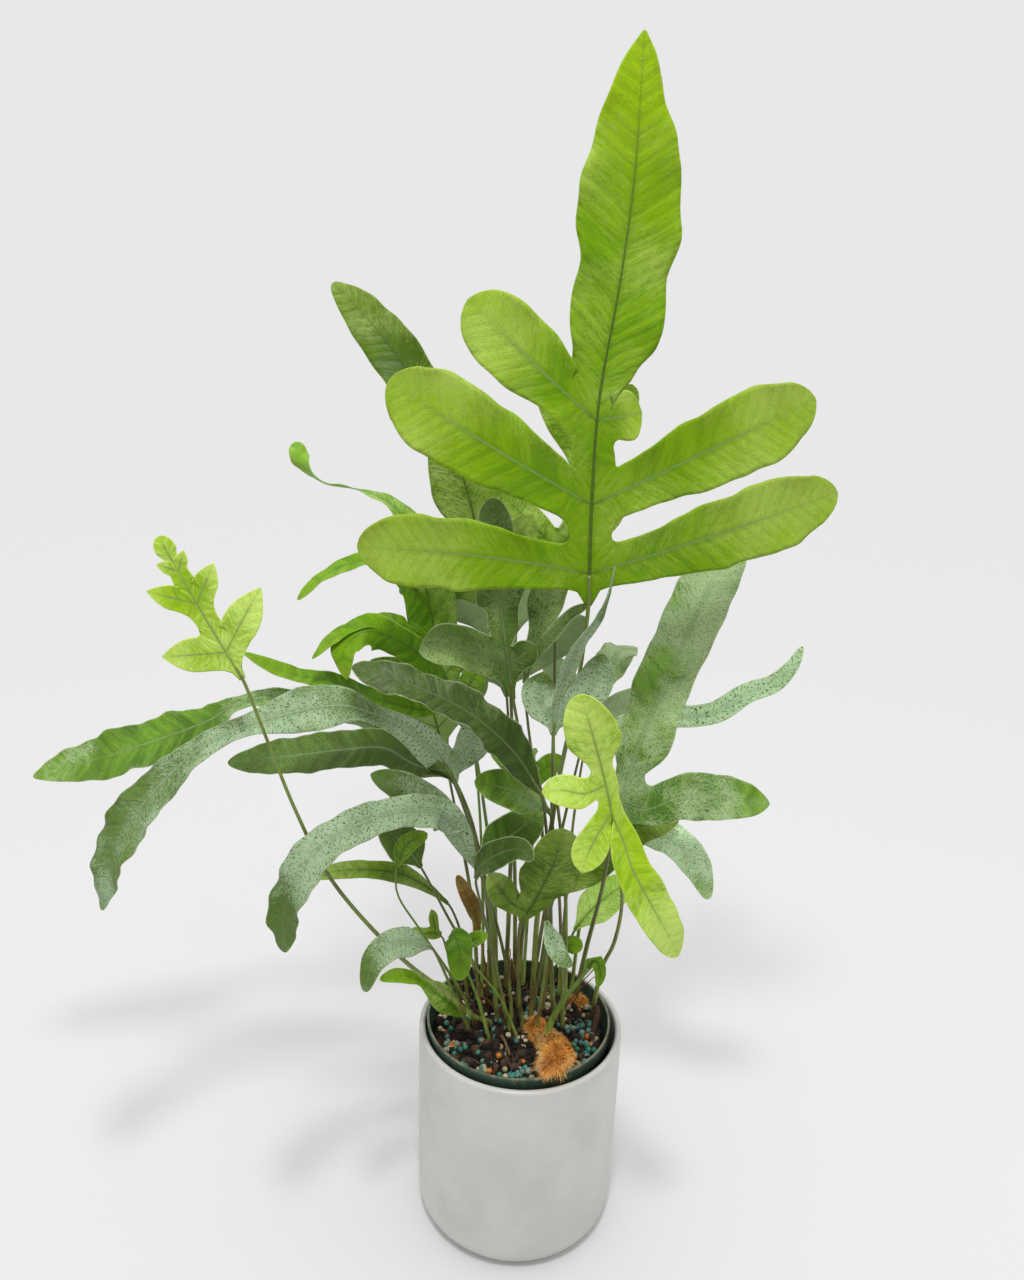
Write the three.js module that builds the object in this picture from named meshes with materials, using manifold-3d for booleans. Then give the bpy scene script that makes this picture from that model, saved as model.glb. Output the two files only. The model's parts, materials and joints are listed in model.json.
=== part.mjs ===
// Potted blue star fern: a white ceramic outer pot, a green nursery pot, soil, creeping rhizomes
// and lobed fronds.
// Millimetres, +Z up, origin at the centre of the outer pot's flat foot. The fern's front faces -Y.
import * as THREE from "three";
import { mergeVertices } from "three/addons/utils/BufferGeometryUtils.js";
import Module from "manifold-3d";

const wasm = await Module();
wasm.setup();

// Driving dimensions
const gap = 0.35; // between touching pieces
const turn = 2 * Math.PI;

const outerPot = {
  radius: 60,
  height: 126,
  wall: 3.8,
  floor: 8,
  footRound: 13,
  rimRound: 1.9,
  taper: 1, // how much narrower it is above the foot
  segments: 42,
};

const nurseryPot = {
  centre: [-1.2, 0.6],
  radius: 54.2,
  top: 129.5,
  lipDepth: 9,
  lipStep: 1.6,
  bottomRadius: 43,
  wall: 1.3,
  segments: 34,
  drainHoles: 4,
  drainRadius: 4.5,
};

const soil = {
  level: 121,
  crown: 3, // how much higher the middle is
  clods: 1.5, // height of the lumps
  rings: [0, 11, 22, 33, 42, 49.9],
  segments: 26,
  granules: 6,
  granuleRadius: 2,
  holeDepth: 11,
  holeClearance: 0.4,
};

const blade = {
  edge: 0.33, // half thickness at the margin
  vein: 0.5, // half thickness on a lobe's midrib
  rachis: 0.8, // half thickness on the main rib
  neck: 0.3, // share of a lobe that its foot takes
  fold: 0.1, // rise of the margins over the midrib, as a share of the half width
  waveLength: 31,
};

// Colours, from the photograph
const finish = (color, roughness) => new THREE.MeshStandardMaterial({ color, roughness, metalness: 0 });
const paint = {
  ceramic: finish(0xd9d8d5, 0.45),
  nursery: finish(0x2f4a38, 0.5),
  soil: finish(0x2b211b, 0.95),
  rhizome: finish(0xc98a3c, 0.95),
  bright: finish(0x86b41c, 0.45),
  lime: finish(0xa9cf2e, 0.45),
  green: finish(0x4f7a2c, 0.5),
  blue: finish(0x6f8f72, 0.6),
  dry: finish(0x7a5a38, 0.9),
};

// A lobe that leaves the rib at an angle, in degrees. It droops away from the face, sweeps towards the
// tip and twists.
const lobe = (angle, length, width, droop = 0, sweep = 0, twist = 0) => {
  return { angle, length, width, droop, sweep, twist };
};
// A lobe whose own rib runs through the given points. face: the way its upper surface looks at its tip.
const traced = (width, way, face) => ({ width, way, face });

// Fronds. foot: where the stalk leaves the soil. stalk: points up to the blade. rib: the main rib, from
// the blade's foot to its tip. face: the way the upper surface looks, and faceTip the same at the tip.
// thick: stoutness of the stalk. width: of the end lobe. wing: half width of the leaf between lobes.
// wave: height of the waves of the margin. A pair of lobes ends at the share "to" of the rib.
// outline: half widths left and right at shares of the rib.
const fronds = [
  {
    name: "frond_tall",
    colour: "bright",
    foot: [8, 20],
    stalk: [[7, -4, 200], [9, -25, 250], [12, -38, 300], [17, -47, 345]],
    rib: [[20, -55, 396], [18, -62, 446], [18, -68, 489], [23, -75, 537], [25, -82, 573], [24, -92, 620]],
    face: [0, -1, 0.05],
    thick: 1.15,
    width: 42,
    wing: 9,
    wave: 1.2,
    fine: true,
    pairs: [
      { to: 0.14, wing: 9.5, left: lobe(77, 105, 35, 8, -14), right: lobe(74, 115, 34, 6, 3) },
      { to: 0.285, wing: 9.5, left: lobe(61, 101, 37, 8, 3), right: lobe(64, 104, 35, 6, 0) },
      { to: 0.465, wing: 14, left: lobe(53, 72, 31, 6, 4), right: lobe(76, 19, 22) },
    ],
    outline: [
      [0.52, 16, 19.5], [0.58, 18.5, 19.5], [0.64, 17.5, 18.5], [0.71, 20.5, 21], [0.78, 20.5, 18],
      [0.85, 17, 14.5], [0.91, 12.5, 9], [0.965, 6.5, 5], [1, 0.8, 0.8],
    ],
  },
  {
    name: "frond_back_left",
    colour: "green",
    foot: [-8, 34],
    stalk: [[-8, 30, 200], [-9, 20, 270], [-12, 12, 325]],
    rib: [
      [-16, 10, 359], [-24, 10, 381], [-32, 11, 410], [-36, 13, 430], [-47, 17, 459], [-74, 25, 501],
      [-92, 29, 522], [-107, 31, 536],
    ],
    face: [0.1, -1, 0.15],
    thick: 1.05,
    width: 27,
    wing: 9,
    wave: 1.6,
    pairs: [{ to: 0.3, wing: 11, left: lobe(62, 40, 22, 12), right: lobe(48, 44, 20, 14) }],
    outline: [
      [0.37, 17, 17], [0.45, 17, 16], [0.54, 12, 12], [0.63, 12.5, 12.5], [0.74, 13, 13], [0.84, 12, 12],
      [0.93, 9, 9], [1, 3, 3],
    ],
  },
  {
    name: "frond_behind",
    colour: "green",
    foot: [17, 30],
    stalk: [[17, 31, 190], [15, 32, 260], [13, 31, 330]],
    rib: [[12, 30, 376], [16, 28, 410], [24, 24, 440], [33, 18, 468], [42, 8, 492]],
    face: [0.1, -1, 0.1],
    thick: 1,
    width: 17,
    wing: 5,
    wave: 1.6,
    pairs: [
      { to: 0.42, left: lobe(54, 52, 18, 8), right: lobe(46, 40, 11, 16) },
      { to: 0.78, left: lobe(52, 54, 16, 2, 8), right: null },
    ],
  },
  {
    name: "frond_middle",
    colour: "blue",
    foot: [-1, 14],
    stalk: [[-1, 8, 170], [0, -8, 230], [-5, -21, 300]],
    rib: [[-12, -22, 337], [-16, -19, 361], [-20, -14, 387], [-23, -10, 412], [-25, -6, 436]],
    face: [0.05, -0.95, 0.3],
    thick: 1,
    width: 20,
    wing: 8,
    wave: 1.4,
    pairs: [
      {
        to: 0.36,
        wing: 8,
        left: traced(23, [[-30, -24, 362], [-44, -28, 367], [-59, -30, 364]], [0.2, -0.8, 0.6]),
        right: lobe(64, 17, 15),
      },
      { to: 0.62, wing: 8, left: lobe(50, 14, 15), right: lobe(38, 30, 16, 8) },
    ],
  },
  {
    name: "frond_middle_right",
    colour: "green",
    foot: [14, 13],
    stalk: [[14, 14, 180], [8, 14, 250], [-2, 9, 310]],
    rib: [[-5, 6, 336], [-3, 5, 352], [2, 8, 372], [8, 12, 392], [14, 16, 406]],
    face: [0.1, -0.95, 0.2],
    thick: 0.9,
    width: 20,
    wing: 4,
    wave: 1.4,
    pairs: [
      {
        to: 0.36,
        left: null,
        right: traced(8, [[8, 4, 364], [17, 0, 376], [26, -6, 384]], [0.1, -0.6, 0.8]),
      },
    ],
  },
  {
    name: "frond_arched",
    colour: "blue",
    foot: [20, 5],
    stalk: [[16, -5, 170], [11, -28, 235], [5, -46, 285]],
    rib: [
      [2, -56, 301], [-13, -60, 325], [-34, -66, 346], [-52, -67, 356], [-70, -66, 362], [-87, -63, 366],
    ],
    face: [-0.25, -0.62, 0.78],
    faceTip: [0, -0.62, 0.8],
    thick: 1,
    width: 24,
    wing: 5,
    wave: 2.4,
    pairs: [],
    outline: [
      [0.08, 5, 4], [0.2, 9, 9], [0.36, 9, 11], [0.52, 8, 11], [0.7, 8, 9], [0.86, 8, 8], [0.96, 6, 6],
      [1, 3, 3],
    ],
  },
  {
    name: "frond_three_lobes",
    colour: "blue",
    foot: [27, 9],
    stalk: [[25, 1, 170], [19, -24, 240], [10, -46, 300]],
    rib: [
      [7, -52, 330], [8, -57, 352], [12, -62, 369], [16, -66, 382], [22, -70, 393], [26, -73, 405],
      [28, -75, 418],
    ],
    face: [0.1, -1, 0.15],
    faceTip: [0.97, -0.25, 0.1],
    thick: 0.9,
    width: 12,
    wing: 2.5,
    wave: 0.8,
    pairs: [
      {
        to: 0.2,
        left: traced(18, [[2, -51, 343], [-1, -50, 351], [1, -49, 361]], [0.3, -0.9, 0.2]),
        right: traced(18, [[18, -56, 349], [25, -56, 359], [28, -57, 373]], [-0.2, -0.95, 0.2]),
      },
    ],
  },
  {
    name: "frond_right",
    colour: "blue",
    foot: [35, 24],
    stalk: [[38, 9, 170], [42, -9, 220]],
    rib: [
      [45, -15, 258], [50, -14, 284], [57, -12, 312], [67, -8, 339], [79, -2, 368], [92, 7, 396],
      [107, 20, 424],
    ],
    face: [-0.3, -0.92, 0.25],
    thick: 1.05,
    width: 33,
    wing: 7,
    wave: 1.6,
    pairs: [
      {
        to: 0.2,
        wing: 8,
        left: null,
        right: traced(
          25,
          [[60, -18, 274], [78, -23, 284], [98, -28, 287], [122, -32, 286]],
          [-0.2, -0.75, 0.6],
        ),
      },
    ],
    outline: [
      [0.28, 13, 15], [0.34, 13, 16], [0.42, 15, 14], [0.54, 16, 14], [0.66, 16, 14], [0.78, 16, 14],
      [0.88, 14, 12], [0.95, 9, 8], [1, 4, 4],
    ],
  },
  {
    name: "frond_lime_front",
    colour: "lime",
    foot: [45, 14],
    stalk: [[46, -4, 165], [47, -34, 203], [45, -60, 243], [38, -82, 280]],
    rib: [[33, -90, 303], [30, -93, 316], [25, -95, 334], [20, -98, 350], [14, -100, 368]],
    face: [0.25, -0.9, 0.3],
    faceTip: [-0.35, -0.9, 0.1],
    thick: 0.9,
    width: 24,
    wing: 5,
    wave: 1,
    pairs: [
      {
        to: 0.2,
        left: traced(16, [[26, -95, 301], [21, -98, 291], [19, -99, 283]], [-0.1, -1, 0.1]),
        right: traced(
          20,
          [
            [38, -94, 295], [42, -97, 284], [48, -98, 273], [57, -97, 257], [64, -94, 244],
            [68, -91, 235],
          ],
          [0.3, -0.9, 0.4],
        ),
      },
      {
        to: 0.44,
        left: traced(15, [[18, -95, 320], [9, -94, 321], [0, -92, 319]], [0, -0.9, 0.4]),
        right: null,
      },
    ],
  },
  {
    name: "frond_lime_left",
    colour: "lime",
    foot: [-18, -3],
    stalk: [
      [-27, -16, 140], [-46, -42, 178], [-66, -58, 208], [-98, -74, 262], [-113, -80, 302],
      [-124, -81, 336],
    ],
    rib: [[-134, -80, 365], [-151, -80, 397], [-166, -80, 427]],
    face: [0.05, -0.98, 0.2],
    thick: 0.9,
    width: 8,
    wing: 6,
    wave: 0.5,
    pairs: [
      { to: 0.4, wing: 6, left: lobe(66, 26, 14, 4), right: lobe(54, 31, 15, 4, -6) },
      { to: 0.7, wing: 4, left: lobe(48, 21, 10), right: lobe(50, 19, 10) },
      { to: 0.86, wing: 3, left: lobe(46, 9, 6), right: lobe(44, 9, 6) },
    ],
  },
  {
    name: "frond_long_left",
    colour: "blue",
    foot: [-15, 14],
    stalk: [[-16, 4, 170], [-21, -16, 216], [-26, -26, 246], [-33, -36, 279]],
    rib: [
      [-40, -42, 299], [-45, -44, 309], [-53, -46, 319], [-65, -48, 331], [-78, -51, 338],
      [-94, -55, 344], [-124, -61, 340], [-154, -67, 329], [-182, -73, 303], [-199, -77, 277],
      [-206, -79, 248],
    ],
    face: [0.1, -0.85, 0.5],
    faceTip: [-0.6, -0.75, 0.25],
    thick: 1,
    width: 24,
    wing: 7,
    wave: 1.6,
    pairs: [
      {
        to: 0.07,
        wing: 8,
        left: traced(
          21,
          [[-60, -37, 306], [-77, -30, 312], [-97, -26, 309], [-126, -22, 303], [-158, -18, 297]],
          [0, -0.7, 0.7],
        ),
        right: traced(18, [[-33, -46, 320], [-29, -48, 331], [-24, -50, 344]], [0.1, -1, 0.15]),
      },
    ],
    outline: [
      [0.12, 8, 8], [0.2, 6, 5], [0.26, 5, 5], [0.32, 9.5, 9.5], [0.38, 11, 11], [0.44, 8.5, 8.5],
      [0.51, 5, 5], [0.59, 6, 6], [0.68, 8.5, 8.5], [0.78, 11.5, 12], [0.87, 11.5, 12], [0.95, 8, 8],
      [1, 2.5, 2.5],
    ],
  },
  {
    name: "frond_far_left",
    colour: "green",
    foot: [-18, 32],
    stalk: [[-22, 30, 190], [-36, 26, 250], [-52, 22, 285]],
    rib: [
      [-75, 16, 300], [-110, 10, 316], [-144, 4, 325], [-160, 2, 321], [-173, 0, 313], [-202, -4, 302],
      [-236, -8, 291], [-264, -10, 283],
    ],
    face: [0, -0.35, 0.95],
    faceTip: [-0.15, -0.82, 0.55],
    thick: 1,
    width: 28,
    wing: 4,
    wave: 1.8,
    pairs: [],
    outline: [
      [0.1, 5, 5], [0.24, 7, 7], [0.36, 6, 6], [0.44, 5, 5], [0.52, 9, 9], [0.6, 13, 12], [0.7, 14, 13],
      [0.8, 13, 13], [0.9, 9, 10], [0.96, 5, 6], [1, 1.5, 1.5],
    ],
  },
  {
    name: "frond_low_arch",
    colour: "blue",
    foot: [-14, 3],
    stalk: [[-17, -7, 165], [-21, -21, 215]],
    rib: [
      [-27, -32, 244], [-33, -37, 260], [-40, -44, 276], [-47, -52, 287], [-57, -60, 292],
      [-67, -69, 296], [-90, -85, 294], [-105, -94, 284], [-115, -100, 261], [-116, -102, 243],
    ],
    face: [-0.2, -0.7, 0.7],
    faceTip: [-0.55, -0.8, 0.1],
    thick: 0.95,
    width: 21,
    wing: 4,
    wave: 2,
    pairs: [
      {
        to: 0.2,
        wing: 7,
        left: null,
        right: traced(
          17,
          [[-45, -47, 283], [-56, -51, 294], [-68, -54, 303], [-80, -56, 309]],
          [0, -0.9, 0.5],
        ),
      },
    ],
    outline: [
      [0.28, 9, 8], [0.38, 8, 8], [0.48, 8, 8], [0.6, 9, 8], [0.72, 10, 9], [0.84, 10, 10], [0.94, 8, 8],
      [1, 4, 4],
    ],
  },
  {
    name: "frond_dark_left",
    colour: "green",
    foot: [-14, 42],
    stalk: [[-17, 36, 190], [-24, 18, 250], [-31, 8, 295]],
    rib: [
      [-37, 4, 316], [-43, 3, 330], [-51, 2, 350], [-55, 2, 372], [-60, 3, 395], [-66, 5, 416],
      [-76, 7, 430], [-93, 9, 437], [-112, 11, 440], [-122, 12, 449], [-125, 13, 458],
    ],
    face: [0.1, -1, 0.15],
    faceTip: [-0.3, 0.4, 0.85],
    thick: 0.95,
    width: 28,
    wing: 7,
    wave: 1.5,
    pairs: [
      {
        to: 0.1,
        wing: 6,
        left: traced(
          12,
          [[-57, 2, 321], [-83, 0, 327], [-105, -3, 337], [-129, -4, 342], [-151, -4, 352]],
          [0.1, -0.4, 0.9],
        ),
        right: lobe(52, 24, 14),
      },
      {
        to: 0.2,
        wing: 7,
        left: traced(
          19,
          [[-58, 0, 350], [-72, -6, 362], [-88, -12, 368], [-98, -17, 360], [-97, -20, 346]],
          [-0.6, -0.75, 0.2],
        ),
        right: lobe(60, 18, 13),
      },
      {
        to: 0.3,
        wing: 13,
        left: traced(
          11,
          [[-70, -2, 369], [-82, -5, 372], [-95, -9, 369], [-106, -13, 363], [-114, -16, 355]],
          [-0.2, -0.3, 0.95],
        ),
        right: null,
      },
      {
        to: 0.4,
        wing: 14,
        left: traced(
          12,
          [[-80, -2, 403], [-96, -6, 402], [-110, -10, 395], [-121, -13, 385]],
          [-0.2, -0.35, 0.9],
        ),
        right: null,
      },
    ],
    outline: [
      [0.46, 13, 14], [0.54, 10, 12], [0.63, 7, 8], [0.72, 6, 6], [0.81, 5, 5], [0.89, 4, 4],
      [0.95, 5, 5], [1, 4, 4],
    ],
  },
  {
    name: "frond_small_green",
    colour: "bright",
    foot: [-23, 24],
    stalk: [[-24, 22, 190], [-28, 18, 260]],
    rib: [[-33, 15, 300], [-45, 15, 322], [-62, 13, 336], [-88, 11, 344]],
    face: [0, -0.7, 0.7],
    thick: 0.8,
    width: 17,
    wing: 4,
    wave: 1,
    pairs: [],
  },
  {
    name: "frond_low_right",
    colour: "green",
    foot: [6, 5],
    stalk: [[10, 5, 150], [13, 3, 185]],
    rib: [[17, 0, 211], [28, 2, 225], [44, 6, 241], [63, 8, 252], [85, 8, 255]],
    face: [-0.2, -0.9, 0.4],
    thick: 0.9,
    width: 24,
    wing: 5,
    wave: 1.2,
    pairs: [],
    outline: [
      [0.14, 7, 9], [0.3, 11, 15], [0.45, 12, 15], [0.6, 12, 13], [0.75, 13, 11], [0.9, 9, 8], [1, 2, 2],
    ],
  },
  {
    name: "frond_pale_right",
    colour: "green",
    foot: [27, 38],
    stalk: [[28, 32, 142]],
    rib: [[32, 24, 172], [42, 26, 185], [53, 29, 194], [66, 31, 203]],
    face: [-0.2, -0.85, 0.5],
    thick: 0.85,
    width: 22,
    wing: 4,
    wave: 1,
    pairs: [],
  },
  {
    name: "frond_tiny_right",
    colour: "green",
    foot: [22, 43],
    stalk: [[23, 33, 140]],
    rib: [[25, 21, 160], [30, 19, 165], [37, 20, 163]],
    face: [-0.1, -0.8, 0.6],
    thick: 0.65,
    width: 11,
    wing: 3,
    wave: 0.5,
    pairs: [],
  },
  {
    name: "frond_centre",
    colour: "green",
    foot: [1, -3],
    stalk: [[-2, -12, 150], [-4, -20, 185]],
    rib: [[-4, -31, 213], [1, -37, 226], [6, -44, 243], [11, -50, 261], [14, -54, 280]],
    face: [0.1, -0.95, 0.25],
    thick: 0.9,
    width: 30,
    wing: 9,
    wave: 1.2,
    pairs: [
      {
        to: 0.28,
        wing: 9,
        left: traced(15, [[-9, -36, 227], [-16, -40, 238], [-22, -44, 249]], [0.2, -0.9, 0.3]),
        right: null,
      },
    ],
  },
  {
    name: "frond_leaning_leaf",
    colour: "green",
    foot: [-5, 3],
    stalk: [[-9, 0, 160], [-20, -7, 210]],
    rib: [[-28, -15, 240], [-19, -17, 250], [-8, -19, 261], [5, -21, 274]],
    face: [0.1, -0.85, 0.5],
    thick: 0.8,
    width: 24,
    wing: 4,
    wave: 1.2,
    pairs: [],
  },
  {
    name: "frond_curled_tip",
    colour: "green",
    foot: [-7, -9],
    stalk: [[-13, -18, 160], [-22, -26, 205]],
    rib: [[-29, -34, 240], [-26, -40, 252], [-17, -46, 262], [-7, -52, 268], [-1, -58, 266]],
    face: [-0.3, -0.75, 0.6],
    thick: 0.85,
    width: 15,
    wing: 4,
    wave: 1.4,
    pairs: [],
  },
  {
    name: "frond_mottled",
    colour: "green",
    foot: [25, -3],
    stalk: [[21, -13, 180], [15, -27, 240]],
    rib: [[8, -38, 282], [0, -42, 290], [-10, -46, 297], [-21, -50, 302], [-30, -53, 305]],
    face: [0.1, -0.85, 0.5],
    thick: 0.85,
    width: 20,
    wing: 4,
    wave: 1,
    pairs: [],
  },
  {
    name: "frond_pointed_left",
    colour: "green",
    foot: [-24, 12],
    stalk: [[-28, 2, 160], [-44, -16, 206]],
    rib: [[-58, -28, 243], [-64, -32, 255], [-70, -35, 264], [-78, -39, 272]],
    face: [0.1, -0.9, 0.4],
    thick: 0.75,
    width: 20,
    wing: 3,
    wave: 1,
    pairs: [],
  },
  {
    name: "frond_thread_left",
    colour: "green",
    foot: [-28, 2],
    stalk: [[-37, -16, 160], [-58, -38, 212], [-69, -48, 240]],
    rib: [[-69, -50, 256], [-64, -49, 268], [-54, -47, 273]],
    face: [0, -0.9, 0.4],
    thick: 0.6,
    width: 10,
    wing: 2,
    wave: 0.6,
    pairs: [],
  },
  {
    name: "frond_narrow_left",
    colour: "green",
    foot: [-32, 22],
    stalk: [[-34, 14, 150], [-37, 2, 185]],
    rib: [
      [-44, -8, 209], [-55, -12, 221], [-68, -16, 231], [-81, -20, 236], [-100, -26, 239],
      [-118, -32, 238],
    ],
    face: [0, -0.5, 0.85],
    thick: 0.75,
    width: 12,
    wing: 3,
    wave: 1.4,
    pairs: [],
  },
  {
    name: "frond_low_left",
    colour: "blue",
    foot: [-31, -7],
    stalk: [[-36, -19, 148], [-43, -33, 178]],
    rib: [[-51, -46, 206], [-60, -59, 218], [-70, -69, 223], [-78, -75, 218], [-82, -79, 204]],
    face: [0, -0.6, 0.8],
    faceTip: [-0.5, -0.85, 0],
    thick: 0.75,
    width: 15,
    wing: 4,
    wave: 1.2,
    pairs: [],
  },
  {
    name: "frond_dark_small",
    colour: "green",
    foot: [-36, 8],
    stalk: [[-38, -3, 148], [-43, -14, 178]],
    rib: [[-47, -22, 198], [-52, -26, 202], [-59, -30, 202], [-66, -34, 199]],
    face: [0, -0.8, 0.6],
    thick: 0.65,
    width: 11,
    wing: 3,
    wave: 0.6,
    pairs: [{ to: 0.4, left: null, right: lobe(58, 13, 7, 0) }],
  },
  {
    name: "frond_drooping",
    colour: "bright",
    foot: [-19, -15],
    stalk: [[-26, -23, 158], [-36, -30, 190]],
    rib: [[-42, -38, 208], [-40, -44, 213], [-37, -49, 211], [-36, -53, 202], [-36, -55, 193]],
    face: [0, -0.6, 0.8],
    faceTip: [-0.1, -1, 0.1],
    thick: 0.7,
    width: 14,
    wing: 3,
    wave: 0.8,
    pairs: [],
  },
  {
    name: "frond_tiny_left",
    colour: "green",
    foot: [-3, -14],
    stalk: [[-14, -24, 160], [-29, -34, 188]],
    rib: [[-33, -38, 201], [-29, -41, 208], [-22, -44, 213]],
    face: [0, -0.8, 0.6],
    thick: 0.6,
    width: 8,
    wing: 2,
    wave: 0.5,
    pairs: [],
  },
  {
    name: "frond_by_rim",
    colour: "bright",
    foot: [-31, 0],
    stalk: [],
    rib: [
      [-33, -9, 135], [-44, -14, 149], [-54, -18, 161], [-62, -21, 169], [-72, -23, 172], [-80, -25, 171],
    ],
    face: [0.1, -0.8, 0.6],
    faceTip: [0, -0.5, 0.85],
    thick: 0.7,
    width: 14,
    wing: 2,
    wave: 0.6,
    pairs: [],
    outline: [
      [0.12, 4, 4], [0.26, 7, 7], [0.4, 7, 7], [0.52, 4.5, 4.5], [0.62, 2.2, 2.2], [0.76, 4, 4],
      [0.9, 4, 4], [1, 1.5, 1.5],
    ],
  },
  {
    name: "frond_hanging",
    colour: "blue",
    foot: [9, -9],
    stalk: [[10, -22, 160], [10, -42, 205]],
    rib: [[8, -50, 226], [11, -54, 219], [15, -58, 211], [21, -63, 208]],
    face: [0.1, -0.9, 0.4],
    thick: 0.65,
    width: 10,
    wing: 3,
    wave: 0.8,
    pairs: [],
  },
  {
    name: "frond_twisted_right",
    colour: "blue",
    foot: [25, 28],
    stalk: [[27, 34, 190], [30, 38, 250]],
    rib: [
      [36, 38, 292], [54, 32, 306], [80, 26, 311], [92, 24, 312], [105, 20, 317], [120, 18, 329],
      [134, 16, 336], [142, 14, 347], [145, 12, 357],
    ],
    face: [0, -0.6, 0.8],
    faceTip: [-0.5, -0.85, 0.2],
    thick: 0.8,
    width: 13,
    wing: 3,
    wave: 1.6,
    pairs: [],
  },
  {
    name: "frond_drooping_right",
    colour: "blue",
    foot: [33, 31],
    stalk: [[38, 36, 180], [46, 34, 215]],
    rib: [[53, 26, 235], [68, 18, 242], [80, 13, 242], [90, 8, 237], [98, 2, 227], [104, -4, 213]],
    face: [-0.1, -0.6, 0.8],
    faceTip: [0.4, -0.8, 0.4],
    thick: 0.85,
    width: 21,
    wing: 4,
    wave: 1.2,
    pairs: [],
  },
  {
    name: "frond_rear_high",
    colour: "blue",
    foot: [-2, 46],
    stalk: [[-4, 54, 190], [-8, 68, 255]],
    rib: [[-12, 82, 300], [-16, 96, 338], [-20, 114, 368], [-26, 140, 388], [-32, 170, 390]],
    face: [0, 0.8, 0.6],
    faceTip: [0, 0.2, 1],
    thick: 1,
    width: 28,
    wing: 7,
    wave: 2,
    pairs: [
      { to: 0.2, left: lobe(60, 62, 23, 18), right: lobe(62, 58, 22, 18) },
      { to: 0.42, left: lobe(54, 54, 20, 18), right: lobe(56, 56, 20, 18) },
    ],
  },
  {
    name: "frond_rear_right",
    colour: "green",
    foot: [10, 44],
    stalk: [[18, 56, 180], [30, 76, 235]],
    rib: [[38, 90, 266], [50, 110, 296], [62, 134, 312], [74, 164, 310]],
    face: [0.3, 0.6, 0.75],
    thick: 0.95,
    width: 26,
    wing: 7,
    wave: 2,
    pairs: [{ to: 0.36, left: lobe(52, 48, 20, 16), right: lobe(56, 50, 20, 20) }],
  },
  {
    name: "frond_rear_left",
    colour: "green",
    foot: [-26, 38],
    stalk: [[-30, 50, 170], [-42, 70, 225]],
    rib: [[-50, 82, 258], [-62, 104, 290], [-76, 130, 304], [-94, 158, 298]],
    face: [-0.3, 0.6, 0.75],
    thick: 0.95,
    width: 25,
    wing: 7,
    wave: 2,
    pairs: [{ to: 0.36, left: lobe(54, 48, 20, 20), right: lobe(54, 44, 20, 16) }],
  },
  {
    name: "frond_rear_low",
    colour: "bright",
    foot: [3, 38],
    stalk: [[5, 54, 160], [8, 80, 200]],
    rib: [[8, 94, 222], [6, 116, 240], [2, 140, 240], [-2, 162, 224]],
    face: [0, 0.5, 0.85],
    thick: 0.85,
    width: 22,
    wing: 5,
    wave: 1.6,
    pairs: [{ to: 0.4, left: lobe(50, 34, 15, 10), right: lobe(50, 30, 15, 10) }],
  },
  {
    name: "dead_leaf",
    colour: "dry",
    foot: [-20, 16],
    stalk: [[-21, 10, 150]],
    rib: [[-26, 4, 184], [-29, 0, 200], [-34, -2, 212], [-39, -4, 224]],
    face: [0.2, -0.9, 0.3],
    thick: 0.6,
    width: 9,
    wing: 2,
    wave: 1.2,
    pairs: [],
  },
];

// The young frond that unrolls from the front rhizome.
const youngFrond = {
  name: "frond_unrolling",
  colour: "bright",
  rhizome: "rhizome_front",
  foot: [15, -19],
  footLevel: 131,
  stalk: [[17, -20, 142], [24, -23, 160]],
  rib: [[33, -26, 177], [38, -27, 187], [41, -30, 182], [40, -33, 174]],
  face: [0.4, -0.8, 0.5],
  thick: 1.35,
  width: 8,
  wing: 2,
  wave: 0.4,
  pairs: [],
};

// Creeping rhizomes: points with the radius there. They lie in and on the soil.
const rhizomes = [
  {
    name: "rhizome_front",
    points: [
      [5, 6, 120], [10, -7, 123.5], [15, -19, 126], [21, -29, 127.5], [19, -40, 131.8], [14, -48.5, 136],
    ],
    radii: [3.5, 5.5, 6, 6, 7.4, 6.6],
    sides: 9,
    steps: 16,
  },
  {
    name: "rhizome_back",
    points: [[26, 21, 118.5], [32, 20, 121.5], [37, 21, 121.5], [41, 24, 119]],
    radii: [3, 4.6, 4.6, 2.6],
    sides: 8,
    steps: 8,
  },
];

// Dry stalks and roots left on the soil: points with one radius.
const litter = [
  {
    name: "dry_stalk_left",
    points: [[-30, 30, 112], [-30, 30, 124], [-34, 22, 134], [-42, 16, 136]],
    radius: 1.3,
  },
  {
    name: "dry_stalk_front",
    points: [[-12, -12, 114], [-12, -13, 124], [-10, -22, 129], [-7, -30, 125.5]],
    radius: 1.1,
  },
  { name: "bark_chip", points: [[42, -6, 121], [45, 0, 124], [46.5, 5, 127], [46, 8, 130]], radius: 2.6 },
];

// Vectors

const vec = (p) => new THREE.Vector3(...p);
const mix = (a, b, share) => a + (b - a) * share;
const smooth = (x) => THREE.MathUtils.smoothstep(x, 0, 1);
const radians = THREE.MathUtils.degToRad;

// A mesh's geometry from corner points and faces, and back from a manifold solid.
function geometryOf(points, faces) {
  const geometry = new THREE.BufferGeometry();
  const places = points.flatMap((p) => p.toArray());
  geometry.setAttribute("position", new THREE.Float32BufferAttribute(places, 3));
  geometry.setIndex(faces.flat());
  return geometry;
}

function solidOf(geometry) {
  const plain = geometry.clone();
  plain.deleteAttribute("normal");
  plain.deleteAttribute("uv");
  const merged = mergeVertices(plain, 1e-4);
  return new wasm.Manifold(
    new wasm.Mesh({
      numProp: 3,
      vertProperties: new Float32Array(merged.attributes.position.array),
      triVerts: new Uint32Array(merged.index.array),
    }),
  );
}

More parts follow.
